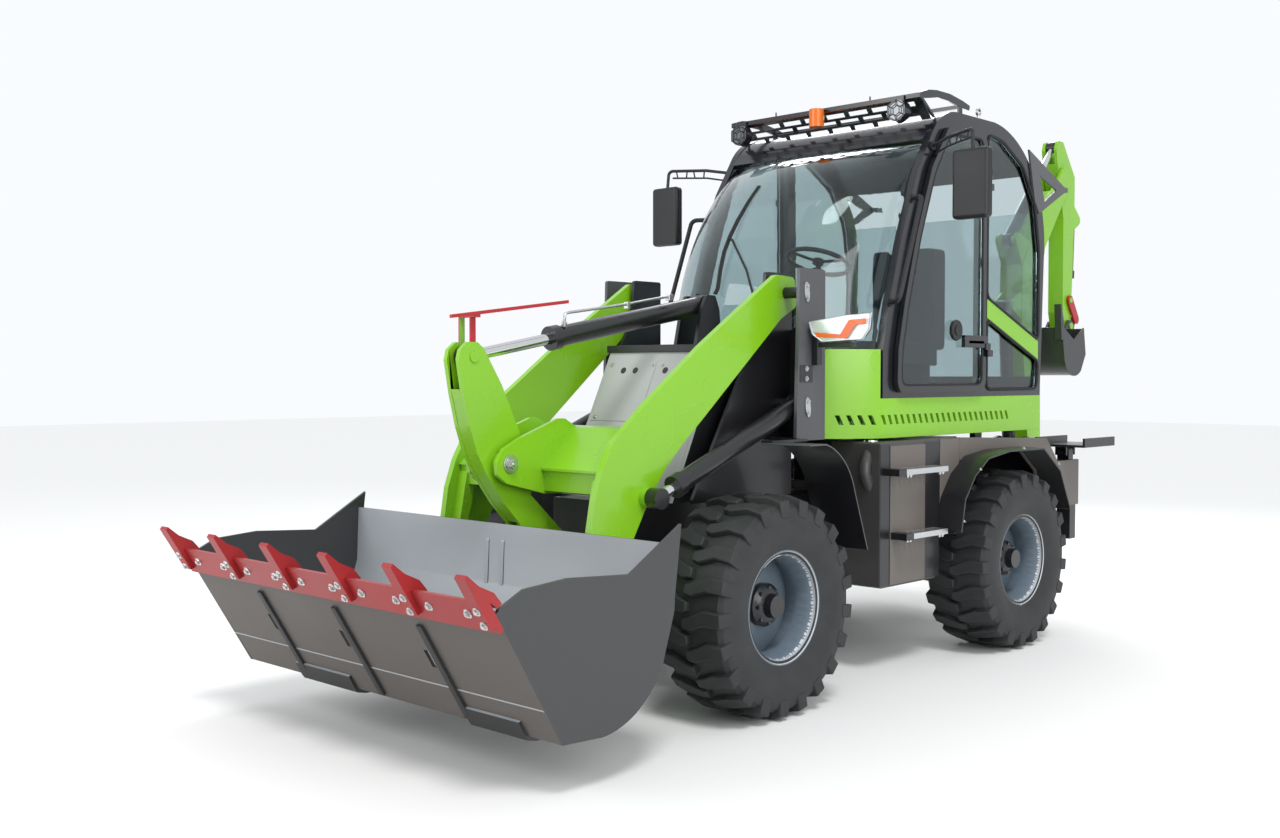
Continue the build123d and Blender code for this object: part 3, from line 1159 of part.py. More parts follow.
# Backhoe bucket, curled: a rolled shell between two cheeks with three teeth, and its hanger plates
half_hoe = HOE_BUCKET_WIDTH / 2
hoe_path = Line((-2680, 1990), (-2720, 1760))
hoe_path += ThreePointArc((-2720, 1760), (-2845, 1655), (-2965, 1690))
hoe_path += Polyline((-2965, 1690), (-3032, 1800), (-3004, 1985))
hoe_shell = extrude(Plane.XZ.offset(-(HOE_Y + half_hoe)) * trace(hoe_path, 12), amount=HOE_BUCKET_WIDTH)
hoe_cheek_line = Line((-2670, 2000), (-2712, 1755))
hoe_cheek_line += ThreePointArc((-2712, 1755), (-2843, 1645), (-2970, 1682))
hoe_cheek_line += Polyline((-2970, 1682), (-3042, 1800), (-3010, 1992), (-2860, 1900), (-2670, 2000))
hoe_cheek = extrude(Plane.XZ.offset(-(HOE_Y + half_hoe)) * make_face(hoe_cheek_line), amount=12)
hoe_bucket = hoe_shell + hoe_cheek + mirror(hoe_cheek, about=Plane.XZ.offset(-HOE_Y))
hanger = link_plate(
    ((hoe_pin_x, hoe_pin_z, 45), (link_end_x, link_end_z, 36), (-3010, 1780, 20), (-3010, 1960, 20)),
    HOE_Y + 66, HOE_Y + 84, ((hoe_pin_x, hoe_pin_z, 24 + SHAFT_CLEARANCE),),
)
hoe_bucket += hanger + mirror(hanger, about=Plane.XZ.offset(-HOE_Y))
for tooth_y in (-half_hoe + 25, 0, half_hoe - 25):
    hoe_bucket += hoe_plate(
        ((-2664, 1900), (-2690, 1900), (-2696, 2030), (-2660, 2150), (-2645, 2150)), tooth_y - 25, tooth_y + 25
    )
nodes["hoe_bucket"] = hoe_bucket

# Backhoe cylinders
hoe_cylinders = (
    # name, base pin, rod pin, radii, gland, inside, eye width
    ("boom", BOOM_BASE_PIN, BOOM_ROD_PIN, (45, 24, 46, 40), 850, 760, 100),
    ("dipper", DIPPER_BASE_PIN, DIPPER_ROD_PIN, (42, 22, 46, 42), 560, 232, 60),
    ("hoe_bucket", HOE_BASE_PIN, HOE_ROD_PIN, (32, 17, 34, 26), 430, 108, 60),
)
for name, base, eye, sizes, gland, inside, eye_width in hoe_cylinders:
    barrel, piston_rod = cylinder_pair(base, eye, HOE_Y, sizes, gland, inside, eye_width, eye_width)
    base_pin_radius = 16 if name == "hoe_bucket" else PIN_RADIUS
    barrel -= cross_pin(base, HOE_Y - 60, HOE_Y + 60, base_pin_radius + SHAFT_CLEARANCE)
    nodes[f"{name}_barrel"] = barrel
    nodes[f"{name}_rod"] = piston_rod

# Stabilizers: a leg behind each end of the slide frame, folded up, with its toothed pad on top
PAD_PIN_Z = 1130
for name, side in LEFT_RIGHT:
    leg_low = STABILIZER_X - 35
    leg_high = STABILIZER_X + 32
    leg = block(leg_low, leg_high, STABILIZER_PIN_Y - 42, STABILIZER_PIN_Y + 42, STABILIZER_PIN_Z, PAD_PIN_Z)
    for z, radius in ((STABILIZER_PIN_Z, 60), (PAD_PIN_Z, 42)):
        leg += rod((leg_low, STABILIZER_PIN_Y, z), (leg_high, STABILIZER_PIN_Y, z), radius)
    leg -= rod(
        (leg_low - 9, STABILIZER_PIN_Y, STABILIZER_PIN_Z), (leg_high + 9, STABILIZER_PIN_Y, STABILIZER_PIN_Z),
        22 + SHAFT_CLEARANCE,
    )
    leg += rod((leg_low - 40, STABILIZER_PIN_Y, PAD_PIN_Z), (leg_high + 40, STABILIZER_PIN_Y, PAD_PIN_Z), 16)
    pad = block(-2400, -1960, 640, 990, PAD_PIN_Z + 50, PAD_PIN_Z + 66)
    for x_low, x_high in ((leg_low - 34, leg_low - 14), (leg_high + 14, leg_high + 34)):
        pad += block(x_low, x_high, STABILIZER_PIN_Y - 40, STABILIZER_PIN_Y + 40, PAD_PIN_Z - 20, PAD_PIN_Z + 50)
        pad -= rod((x_low - 1, STABILIZER_PIN_Y, PAD_PIN_Z), (x_high + 1, STABILIZER_PIN_Y, PAD_PIN_Z), 16.3)
    for y_low, y_high in ((640, 656), (974, 990)):
        pad += block(-2400, -1960, y_low, y_high, PAD_PIN_Z + 66, PAD_PIN_Z + 110)
    for piece, shape in (("stabilizer", leg), ("pad", pad)):
        nodes[f"{name}_{piece}"] = shape if side > 0 else other_side(shape)

# The whole machine, moved so that the origin is on the ground under its middle
whole = Compound([solid for shape in nodes.values() for solid in shape.solids()])
bounds = whole.bounding_box()
MOVE_X = -(bounds.min.X + bounds.max.X) / 2
print("move x", MOVE_X, "bounds", bounds.min, bounds.max)

os.makedirs("parts", exist_ok=True)
for name, shape in nodes.items():
    export_step(Pos(MOVE_X, 0, 0) * shape, f"parts/{name}.step")
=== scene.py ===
import json
import math

import bmesh
import bpy
from mathutils import Matrix, Vector


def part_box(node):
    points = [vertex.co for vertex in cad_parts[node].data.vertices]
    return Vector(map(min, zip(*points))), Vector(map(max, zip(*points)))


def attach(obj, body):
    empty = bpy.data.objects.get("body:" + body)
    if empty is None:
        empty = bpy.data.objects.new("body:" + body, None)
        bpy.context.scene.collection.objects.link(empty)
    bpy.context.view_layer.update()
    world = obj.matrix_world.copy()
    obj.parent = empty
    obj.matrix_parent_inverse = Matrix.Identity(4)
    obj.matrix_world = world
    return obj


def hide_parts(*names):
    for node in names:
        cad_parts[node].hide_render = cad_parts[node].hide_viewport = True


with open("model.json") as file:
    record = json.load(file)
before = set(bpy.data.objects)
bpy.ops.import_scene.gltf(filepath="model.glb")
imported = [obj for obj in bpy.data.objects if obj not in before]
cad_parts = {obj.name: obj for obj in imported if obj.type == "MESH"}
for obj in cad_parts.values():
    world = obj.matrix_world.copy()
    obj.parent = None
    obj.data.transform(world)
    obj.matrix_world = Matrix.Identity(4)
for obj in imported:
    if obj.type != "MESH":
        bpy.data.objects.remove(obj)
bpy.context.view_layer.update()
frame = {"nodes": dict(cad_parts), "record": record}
nodes = frame["nodes"]


# Studio
# A pale floor, a pale sky, a soft sun and three large lamps. The camera stands in front of the
# machine's left corner at eye height, with a slightly long lens.
def middle_of(node):
    """The middle of a node's box, in metres."""
    low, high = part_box(node)
    return (Vector(low) + Vector(high)) / 2


mid_x = (middle_of("front_left_tyre").x + middle_of("rear_left_tyre").x) / 2


def at(x, y, z):
    """Millimetres from the ground midway between the axles, as a point of the frame."""
    return Vector((mid_x + x / 1000, y / 1000, z / 1000))


SENSOR_WIDTH = 36  # millimetres
IMAGE_WIDTH = 1280  # pixels
FOCAL_LENGTH = 1343  # pixels
YAW, PITCH = math.radians(46.235), math.radians(1.86)

camera = bpy.data.objects.new("camera", bpy.data.cameras.new("camera"))
bpy.context.collection.objects.link(camera)
camera.data.sensor_width = SENSOR_WIDTH
camera.data.lens = FOCAL_LENGTH / IMAGE_WIDTH * SENSOR_WIDTH
camera.data.clip_end = 200
camera.location = at(6256, 4894, 1647)
aim = Vector((-math.sin(YAW) * math.cos(PITCH), -math.cos(YAW) * math.cos(PITCH), -math.sin(PITCH)))
camera.rotation_mode = "QUATERNION"
camera.rotation_quaternion = aim.to_track_quat("-Z", "Y")
bpy.context.scene.camera = camera

world = bpy.data.worlds.new("soft sky")
bpy.context.scene.world = world
world.use_nodes = True
sky = world.node_tree
sky_light = sky.nodes["Background"]
sky_light.inputs["Color"].default_value = (0.93, 0.96, 1.0, 1)
sky_light.inputs["Strength"].default_value = 0.80
seen = sky.nodes.new("ShaderNodeBackground")
seen.inputs["Color"].default_value = (0.95, 0.97, 1.0, 1)
seen.inputs["Strength"].default_value = 1.0
ray = sky.nodes.new("ShaderNodeLightPath")
either = sky.nodes.new("ShaderNodeMath")
either.operation = "MAXIMUM"
mix = sky.nodes.new("ShaderNodeMixShader")
sky.links.new(ray.outputs["Is Camera Ray"], either.inputs[0])
sky.links.new(ray.outputs["Is Transmission Ray"], either.inputs[1])
sky.links.new(either.outputs[0], mix.inputs["Fac"])
sky.links.new(sky_light.outputs[0], mix.inputs[1])
sky.links.new(seen.outputs[0], mix.inputs[2])
sky.links.new(mix.outputs[0], sky.nodes["World Output"].inputs["Surface"])


def new_finish(name):
    """A new material and its shader."""
    finish = bpy.data.materials.new(name)
    finish.use_nodes = True
    return finish, finish.node_tree.nodes["Principled BSDF"]


floor_mesh = bpy.data.meshes.new("floor")
shape = bmesh.new()
bmesh.ops.create_grid(shape, x_segments=1, y_segments=1, size=40)
shape.to_mesh(floor_mesh)
floor = bpy.data.objects.new("floor", floor_mesh)
bpy.context.collection.objects.link(floor)
floor_paint, floor_shader = new_finish("pale floor")
floor_shader.inputs["Base Color"].default_value = (0.74, 0.74, 0.73, 1)
floor_shader.inputs["Roughness"].default_value = 0.9
floor_mesh.materials.append(floor_paint)

LAMP_TARGET = Vector((0, 0, 1.0))
LAMPS = (
    # name, place, size in metres, watts
    ("fill", (8.5, -3.0, 4.0), 5.0, 240),
    ("side", (3.0, 7.5, 4.0), 5.0, 260),
    ("back", (-6.0, -3.0, 6.0), 4.0, 350),
)
for name, place, size, watts in LAMPS:
    lamp = bpy.data.lights.new(name, "AREA")
    lamp.size = size
    lamp.energy = watts
    holder = bpy.data.objects.new(name, lamp)
    bpy.context.collection.objects.link(holder)
    holder.location = place
    holder.rotation_mode = "QUATERNION"
    holder.rotation_quaternion = (LAMP_TARGET - Vector(place)).to_track_quat("-Z", "Y")
sun = bpy.data.lights.new("sun through thin cloud", "SUN")
sun.energy = 1.7
sun.angle = math.radians(14)
sun_holder = bpy.data.objects.new("sun through thin cloud", sun)
bpy.context.collection.objects.link(sun_holder)
sun_holder.visible_glossy = False
sun_holder.rotation_mode = "QUATERNION"
sun_holder.rotation_quaternion = Vector((-0.30, -0.42, -0.86)).to_track_quat("-Z", "Y")
bpy.context.scene.view_settings.view_transform = "Standard"


# Green sheet metal: the loader arms, the bellcrank, the cab's lower body and the backhoe
# Flame-cut plate and folded sheet, primed and sprayed with two-pack enamel. The gloss is uneven
# by a few hundredths and the surface has a fine orange peel.
def enamel(name, colour, roughness, peel=0.05, shade=0.86, coat=0.3):
    """Sprayed paint with a faint cloud in its tint and gloss; shade is how dark the cloud gets."""
    paint, shader = new_finish(name)
    tree = paint.node_tree
    place = tree.nodes.new("ShaderNodeTexCoord")
    cloud = tree.nodes.new("ShaderNodeTexNoise")
    cloud.inputs["Scale"].default_value = 2.2
    cloud.inputs["Detail"].default_value = 5
    tint = tree.nodes.new("ShaderNodeMix")
    tint.data_type = "RGBA"
    tint.inputs["A"].default_value = (*[c * shade for c in colour], 1)
    tint.inputs["B"].default_value = (*colour, 1)
    gloss = tree.nodes.new("ShaderNodeMapRange")
    gloss.inputs["From Min"].default_value = 0.3
    gloss.inputs["From Max"].default_value = 0.7
    gloss.inputs["To Min"].default_value = roughness - 0.05
    gloss.inputs["To Max"].default_value = roughness + 0.07
    grain = tree.nodes.new("ShaderNodeTexNoise")
    grain.inputs["Scale"].default_value = 260
    grain.inputs["Detail"].default_value = 2
    bump = tree.nodes.new("ShaderNodeBump")
    bump.inputs["Strength"].default_value = peel
    bump.inputs["Distance"].default_value = 0.001
    tree.links.new(place.outputs["Object"], cloud.inputs["Vector"])
    tree.links.new(place.outputs["Object"], grain.inputs["Vector"])
    tree.links.new(cloud.outputs["Fac"], tint.inputs["Factor"])
    tree.links.new(tint.outputs["Result"], shader.inputs["Base Color"])
    tree.links.new(cloud.outputs["Fac"], gloss.inputs["Value"])
    tree.links.new(gloss.outputs["Result"], shader.inputs["Roughness"])
    tree.links.new(grain.outputs["Fac"], bump.inputs["Height"])
    tree.links.new(bump.outputs["Normal"], shader.inputs["Normal"])
    shader.inputs["Coat Weight"].default_value = coat
    shader.inputs["Coat Roughness"].default_value = 0.12
    return paint


def body_with(node):
    """The body that a node belongs to."""
    for body, members in frame["record"]["behaviour"]["bodies"].items():
        if node in members:
            return body


def piece_from(shape, name, paint, body, stands_for=()):
    """Turn a finished bmesh into a piece of the machine that moves with a body."""
    mesh = bpy.data.meshes.new(name)
    shape.to_mesh(mesh)
    shape.free()
    for finish in paint if isinstance(paint, (list, tuple)) else [paint]:
        mesh.materials.append(finish)
    piece = bpy.data.objects.new(name, mesh)
    bpy.context.collection.objects.link(piece)
    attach(piece, body)
    if stands_for:
        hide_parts(*stands_for)
    return piece


def smooth_below(shape, degrees):
    """Smooth faces, with the edges over an angle kept sharp."""
    for face in shape.faces:
        face.smooth = True
    for edge in shape.edges:
        edge.smooth = len(edge.link_faces) == 2 and edge.calc_face_angle(0) < math.radians(degrees)


def ease_edges(piece, width, angle=32, harden=True):
    """Round a piece's sharp edges by a width in metres."""
    bevel = piece.modifiers.new("eased edges", "BEVEL")
    bevel.width = width
    bevel.segments = 2
    bevel.limit_method = "ANGLE"
    bevel.angle_limit = math.radians(angle)
    bevel.harden_normals = harden


def eased(node, paint, width=0.003, zones=()):
    """A node's own shape, painted, with its cut edges slightly rounded.

    zones lists other paints, each with a test of a face's place (millimetres) and its normal."""
    shape = bmesh.new()
    shape.from_mesh(nodes[node].data)
    bmesh.ops.remove_doubles(shape, verts=shape.verts, dist=0.00002)
    bmesh.ops.dissolve_limit(shape, angle_limit=math.radians(0.6), verts=shape.verts, edges=shape.edges)
    smooth_below(shape, 32)
    for face in shape.faces:
        spot = face.calc_center_median() - Vector((mid_x, 0, 0))
        for number, (finish, belongs) in enumerate(zones):
            if belongs(spot.x * 1000, spot.y * 1000, spot.z * 1000, face.normal):
                face.material_index = number + 1
    finishes = [paint] + [finish for finish, belongs in zones]
    piece = piece_from(shape, node + "_painted", finishes, body_with(node), [node])
    if width:
        ease_edges(piece, width)
    return piece


lime = enamel("lime enamel", (0.213, 0.497, 0.012), 0.26, coat=0.45)
red = enamel("red enamel", (0.40, 0.010, 0.014), 0.36, coat=0.15)
for node in ("loader_arms", "cab_base", "boom", "dipper"):
    eased(node, lime)
eased("bellcrank", lime, zones=[(red, lambda x, y, z, n: z > 1803)])

# Loader bucket
# Rolled plate sprayed graphite. Inside, where the same paint faces the sun, it is a little smoother and
# painted a lighter sunlit grey, and under it the floor is dulled by dust.
graphite = enamel("graphite enamel", (0.037, 0.038, 0.041), 0.40, coat=0.2)
# Painted light: the same graphite paint as lit by the sun, a lighter grey for the bucket's inside.
painted_sunlit_grey = enamel("painted sunlit grey", (0.33, 0.35, 0.37), 0.34, coat=0.2)
dusty = enamel("dusty underside", (0.100, 0.088, 0.078), 0.55, shade=0.72, coat=0.05)


LIP_X, LIP_Z = 3095, 780
FLOOR_RUN, FLOOR_RISE, FLOOR_LENGTH = 328, 546, 637
RUN_SHARE, RISE_SHARE = 0.515, 0.857
INNER_WALL = 1128
BACK_PLATE = 2150
HOLLOW_X, HOLLOW_Z = 2600, 700


def lip_spot(x, z):
    """Distance along the floor plate from the lip, and out from it."""
    along = ((x - LIP_X) * FLOOR_RUN + (z - LIP_Z) * FLOOR_RISE) / FLOOR_LENGTH
    out = ((x - LIP_X) * FLOOR_RISE - (z - LIP_Z) * FLOOR_RUN) / FLOOR_LENGTH
    return along, out


def in_the_bucket(x, y, z, n):
    """Faces between the side walls that look into the bucket's hollow."""
    if abs(y) > INNER_WALL or n.y * y > 0.5 * abs(y):
        return False
    if x < BACK_PLATE and n.x < 0.5:
        return False
    if abs(n.y) > 0.9 and abs(y) > INNER_WALL - 8:
        return True
    inwards = Vector((HOLLOW_X - x, 0, HOLLOW_Z - z))
    return abs(y) < INNER_WALL and n.x * inwards.x + n.z * inwards.z > 0.3 * inwards.length


def under_the_floor(x, y, z, n):
    along, out = lip_spot(x, z)
    return n.x * RISE_SHARE - n.z * RUN_SHARE > 0.7 and -640 < along < 2 and out > 3


strip_black = enamel("wear strip black", (0.016, 0.016, 0.017), 0.5, coat=0.0)
eased(
    "loader_bucket", graphite, 0.003,
    [
        # Painted light: faces looking into the hollow take the lighter sunlit grey.
        (painted_sunlit_grey, in_the_bucket),
        (dusty, under_the_floor),
        (strip_black, lambda x, y, z, n: lip_spot(x, z)[1] > 16 or z < 222),
    ],
)
eased("hoe_bucket", graphite)


# Welds on the bucket's floor
# Four beads of fillet weld across the underside hold the heel plate to the floor plate, with a gap
# at each wear strip.
def bead(shape, start, end, radius):
    """A round bar between two points, in metres."""
    direction = Vector(end) - Vector(start)
    turn = direction.to_track_quat("Z", "Y").to_matrix().to_4x4()
    middle = (Vector(start) + Vector(end)) / 2
    bmesh.ops.create_cone(
        shape, cap_ends=True, segments=10, radius1=radius, radius2=radius, depth=direction.length,
        matrix=Matrix.Translation(middle) @ turn,
    )


def lip_point(along, out, y):
    """A point along the floor plate from the lip and out from it, in millimetres."""
    return at(
        LIP_X + RUN_SHARE * along + RISE_SHARE * out, y, LIP_Z + RISE_SHARE * along - RUN_SHARE * out
    )


welds = bmesh.new()
for low, high in ((-1140, -620), (-580, -20), (20, 580), (620, 1140)):
    bead(welds, lip_point(-470, 7, low), lip_point(-470, 7, high), 0.004)
smooth_below(welds, 40)
# The weld beads take the same painted sunlit grey.
piece_from(welds, "bucket_floor_weld", painted_sunlit_grey, "loader_bucket")


# Cutting edge, its teeth and their bolts
# A steel blade is bolted along the lip and carries six teeth, all in scuffed red enamel. Two
# zinc-plated bolts hold each tooth, and one on either side of it holds the blade.
def metal(name, colour, roughness, brushed=0.0):
    """Bare or plated metal; brushed widens the spread of its gloss."""
    finish, shader = new_finish(name)
    tree = finish.node_tree
    shader.inputs["Metallic"].default_value = 1.0
    shader.inputs["Base Color"].default_value = (*colour, 1)
    place = tree.nodes.new("ShaderNodeTexCoord")
    grain = tree.nodes.new("ShaderNodeTexNoise")
    grain.inputs["Scale"].default_value = 40
    grain.inputs["Detail"].default_value = 4
    spread = tree.nodes.new("ShaderNodeMapRange")
    spread.inputs["To Min"].default_value = max(0.02, roughness - 0.05 - brushed)
    spread.inputs["To Max"].default_value = roughness + 0.05 + brushed
    tree.links.new(place.outputs["Object"], grain.inputs["Vector"])
    tree.links.new(grain.outputs["Fac"], spread.inputs["Value"])
    tree.links.new(spread.outputs["Result"], shader.inputs["Roughness"])
    return finish


zinc = metal("bright zinc", (0.62, 0.63, 0.63), 0.30, 0.04)
worn_red = enamel("worn red enamel", (0.36, 0.014, 0.016), 0.42, peel=0.12, shade=0.62, coat=0.1)
eased("bucket_edge", worn_red)


def bolt(shape, place, direction, size):
    """A hexagon bolt head on its washer; size is half the head's width."""
    direction = Vector(direction).normalized()
    turn = direction.to_track_quat("Z", "Y").to_matrix().to_4x4()
    washer = (20, size * 1.75, 0, size * 0.3)
    head = (6, size * 1.15, size * 0.3, size * 1.05)
    for sides, radius, low, high in (washer, head):
        middle = Vector(place) + direction * (low + high) / 2
        bmesh.ops.create_cone(
            shape, cap_ends=True, segments=sides, radius1=radius, radius2=radius, depth=high - low,
            matrix=Matrix.Translation(middle) @ turn,
        )
    bmesh.ops.create_cone(
        shape, cap_ends=True, segments=12, radius1=size * 0.6, radius2=size * 0.5, depth=size * 0.35,
        matrix=Matrix.Translation(Vector(place) + direction * size * 1.2) @ turn,
    )


TEETH = 6
FIRST_TOOTH = -1114
TOOTH_PITCH = 445.6
edge_bolts = bmesh.new()
outwards = (RISE_SHARE, 0, -RUN_SHARE)
for number in range(TEETH):
    tooth_y = FIRST_TOOTH + number * TOOTH_PITCH
    for along in (-22, 44):
        bolt(edge_bolts, lip_point(along, 54, tooth_y), outwards, 0.011)
    for step in (-105, 105):
        if abs(tooth_y + step) < 1100:
            bolt(edge_bolts, lip_point(0, 29, tooth_y + step), outwards, 0.012)
smooth_below(edge_bolts, 30)
piece_from(edge_bolts, "cutting_edge_bolts", zinc, "loader_bucket")

# Front frame: loader towers, sloped cowl and beam
# Welded plate. The towers' outer plates are dark grey; the cowl's folded covers are the same dark
# grey, painted a lighter sunlit grey where they face up into the sun, and all the rest is black.
dark_grey = enamel("dark grey enamel", (0.066, 0.068, 0.073), 0.38, coat=0.2)
# Painted light: a lighter copy of the dark grey, for covers that face up into the sun.
sunlit_dark_grey = enamel("sunlit dark grey enamel", (0.40, 0.41, 0.40), 0.36, coat=0.25)
black = enamel("black enamel", (0.010, 0.010, 0.012), 0.34)
eased(
    "front_frame", black, 0.003,
    [
        (sunlit_dark_grey, lambda x, y, z, n: abs(y) < 402 and 962 < x < 1335 and z > 1011),
        (dark_grey, lambda x, y, z, n: abs(y) > 688 and z > 1311 and x < 740),
    ],
)


def plate(shape, outline, face, back):
    """A flat plate cut to a side-view outline (x, z), between two distances across, millimetres."""
    low, high = sorted((face, back))
    left = [shape.verts.new(at(x, high, z)) for x, z in outline]
    right = [shape.verts.new(at(x, low, z)) for x, z in outline]
    shape.faces.new(left)
    shape.faces.new(right[::-1])
    for number in range(len(outline)):
        after = (number + 1) % len(outline)
        shape.faces.new((left[after], left[number], right[number], right[after]))


def block(shape, corner, opposite):
    """A box between two opposite corners in millimetres."""
    low = Vector([min(pair) for pair in zip(corner, opposite)])
    high = Vector([max(pair) for pair in zip(corner, opposite)])
    middle = (low + high) / 2
    size = (high - low) / 1000
    bmesh.ops.create_cube(
        shape, size=1, matrix=Matrix.Translation(at(*middle)) @ Matrix.Diagonal((*size, 1))
    )


def made(shape, name, paint, body, stands_for=(), width=0.0, sharp=32):
    """Finish a bmesh: normals outwards, smooth faces and eased edges."""
    bmesh.ops.recalc_face_normals(shape, faces=shape.faces)
    smooth_below(shape, sharp)
    piece = piece_from(shape, name, paint, body, stands_for)
    if width:
        ease_edges(piece, width)
    return piece


COWL_TOP_X, COWL_TOP_Z = 960, 1780
COWL_RUN, COWL_DROP = 0.433, 0.901
COVER = 4


def slope(down, out, y):
    """A point on the cowl's sloped face: down from its top edge, and out from the face."""
    return at(
        COWL_TOP_X + COWL_RUN * down + COWL_DROP * out, y, COWL_TOP_Z - COWL_DROP * down + COWL_RUN * out
    )


covers = bmesh.new()
for low, high, top, bottom in ((-378, -20, 60, 420), (-10, 378, 60, 420), (-378, 378, 436, 800)):
    outline = ((top, low), (top, high), (bottom, high), (bottom, low))
    corners = [slope(down, out, y) for out in (0, COVER) for down, y in outline]
    verts = [covers.verts.new(corner) for corner in corners]
    for quad in ((0, 1, 2, 3), (7, 6, 5, 4), (0, 4, 5, 1), (1, 5, 6, 2), (2, 6, 7, 3), (3, 7, 4, 0)):
        covers.faces.new([verts[k] for k in quad])
made(covers, "cowl_covers", sunlit_dark_grey, "front_body", width=0.0015)
# Painted shade: thin black discs stand on the covers where their holes are dark.
hole_shade_discs = bmesh.new()
for y, down in ((60, 120), (150, 120), (-250, 120), (-160, 120)):
    bead(hole_shade_discs, slope(down, 3, y), slope(down, 5.2, y), 0.019)
made(hole_shade_discs, "cowl_cover_hole_shade", black, "front_body")
cover_bolts = bmesh.new()
for across, rows in (((-350, -40, 30, 350), (85, 400)), ((-350, 350), (460, 770))):
    for y in across:
        for down in rows:
            bolt(cover_bolts, slope(down, COVER, y), (COWL_DROP, 0, COWL_RUN), 0.007)
made(cover_bolts, "cowl_bolts", zinc, "front_body")
top_bar = bmesh.new()
block(top_bar, (930, -420, 1772), (975, 420, 1812))
made(top_bar, "cowl_top_bar", black, "front_body", width=0.004)

# Keeper plates on the towers
# Each pin's end is held by a small zinc plate with two bolts; below the lamp is a bolted slot.
TOWER_FACE = 710
KEEPER_OUTER = 716
SLOT_OUTER = 713
keepers = bmesh.new()
keeper_bolts = bmesh.new()
slots = bmesh.new()
for side in (1, -1):
    for x, z in ((645, 2078), (633, 1482)):
        angles = [k * math.pi / 12 for k in range(24)]
        outline = [(x + 21 * math.sin(a) + 6 * math.cos(a), z + 52 * math.cos(a)) for a in angles]
        plate(keepers, outline, side * TOWER_FACE, side * KEEPER_OUTER)
        for lift in (30, -30):
            bolt(keeper_bolts, at(x, side * KEEPER_OUTER, z + lift), (0, side, 0), 0.008)
    block(slots, (592, side * (TOWER_FACE - 2), 1612), (700, side * SLOT_OUTER, 1700))
    for bolt_z in (1630, 1682):
        bolt(keeper_bolts, at(646, side * SLOT_OUTER, bolt_z), (0, side, 0), 0.008)
made(keepers, "pin_keepers", zinc, "front_body", width=0.001)
made(keeper_bolts, "keeper_bolts", zinc, "front_body")
made(slots, "lamp_bracket_plates", black, "front_body", width=0.001)


# Head lamps
# A black moulded shell, wider towards its outer end, with a clear lens that wraps the front and
# an orange turn-signal stripe behind it. A bent bracket bolts it to the tower.
LAMP_INNER_EDGE = 722
LAMP_SWEEP = 0.04
lens_outline = (
    (LAMP_INNER_EDGE, 1923), (932, 1951), (1090, 1958), (1082, 1880), (1040, 1828), (800, 1819),
    (742, 1858),
)
stripe_outline = (
    (765, 1868), (917, 1854), (968, 1926), (1068, 1933), (1064, 1904), (1006, 1898), (956, 1832),
    (775, 1844),
)


def front_plate(shape, outline, x_low, x_high, side, back_size=1.0):
    """A plate whose outline (y, z) is seen from the front, swept back towards its outer end."""
    mid_y = sum(y for y, z in outline) / len(outline)
    mid_z = sum(z for y, z in outline) / len(outline)
    rings = []
    for x, size in ((x_high, 1.0), (x_low, back_size)):
        rings.append([
            shape.verts.new(at(
                x - LAMP_SWEEP * (y - LAMP_INNER_EDGE), side * (mid_y + (y - mid_y) * size),
                mid_z + (z - mid_z) * size,
            ))
            for y, z in outline
        ])
    shape.faces.new(rings[0])
    shape.faces.new(rings[1][::-1])
    for number in range(len(outline)):
        after = (number + 1) % len(outline)
        shape.faces.new((rings[0][after], rings[0][number], rings[1][number], rings[1][after]))


clear, clear_shader = new_finish("clear lens")
clear_tree = clear.node_tree
clear_shader.inputs["Base Color"].default_value = (0.93, 0.95, 0.97, 1)
clear_shader.inputs["Transmission Weight"].default_value = 0.75
clear_shader.inputs["Roughness"].default_value = 0.12
clear_ribs = clear_tree.nodes.new("ShaderNodeTexWave")
clear_ribs.inputs["Scale"].default_value = 22
clear_place = clear_tree.nodes.new("ShaderNodeTexCoord")
clear_bump = clear_tree.nodes.new("ShaderNodeBump")
clear_bump.inputs["Strength"].default_value = 0.5
clear_bump.inputs["Distance"].default_value = 0.003
clear_tree.links.new(clear_place.outputs["Object"], clear_ribs.inputs["Vector"])
clear_tree.links.new(clear_ribs.outputs["Fac"], clear_bump.inputs["Height"])
clear_tree.links.new(clear_bump.outputs["Normal"], clear_shader.inputs["Normal"])
orange = enamel("orange plastic", (0.75, 0.11, 0.008), 0.25, peel=0.0)
plastic = enamel("black plastic", (0.014, 0.014, 0.015), 0.48, peel=0.25, coat=0.0)
reflector = metal("lamp reflector", (0.86, 0.87, 0.88), 0.12)
shells, lenses, stripes, mirrors_in, brackets = (bmesh.new() for _ in range(5))
for side in (1, -1):
    front_plate(shells, lens_outline, 548, 628, side, back_size=0.72)
    front_plate(mirrors_in, lens_outline, 629, 631, side)
    front_plate(lenses, lens_outline, 632, 647, side)
    front_plate(stripes, stripe_outline, 647, 650, side)
    block(brackets, (560, side * 711, 1700), (600, side * 750, 1890))
    block(brackets, (560, side * 740, 1792), (592, side * 960, 1816))
made(shells, "head_lamp_shells", plastic, "front_body", ["head_lamps"], 0.006)
made(mirrors_in, "head_lamp_reflectors", reflector, "front_body")
made(lenses, "head_lamp_lenses", clear, "front_body", width=0.004)
made(stripes, "turn_signal_stripes", orange, "front_body", width=0.001)
made(brackets, "head_lamp_brackets", black, "front_body", width=0.004)

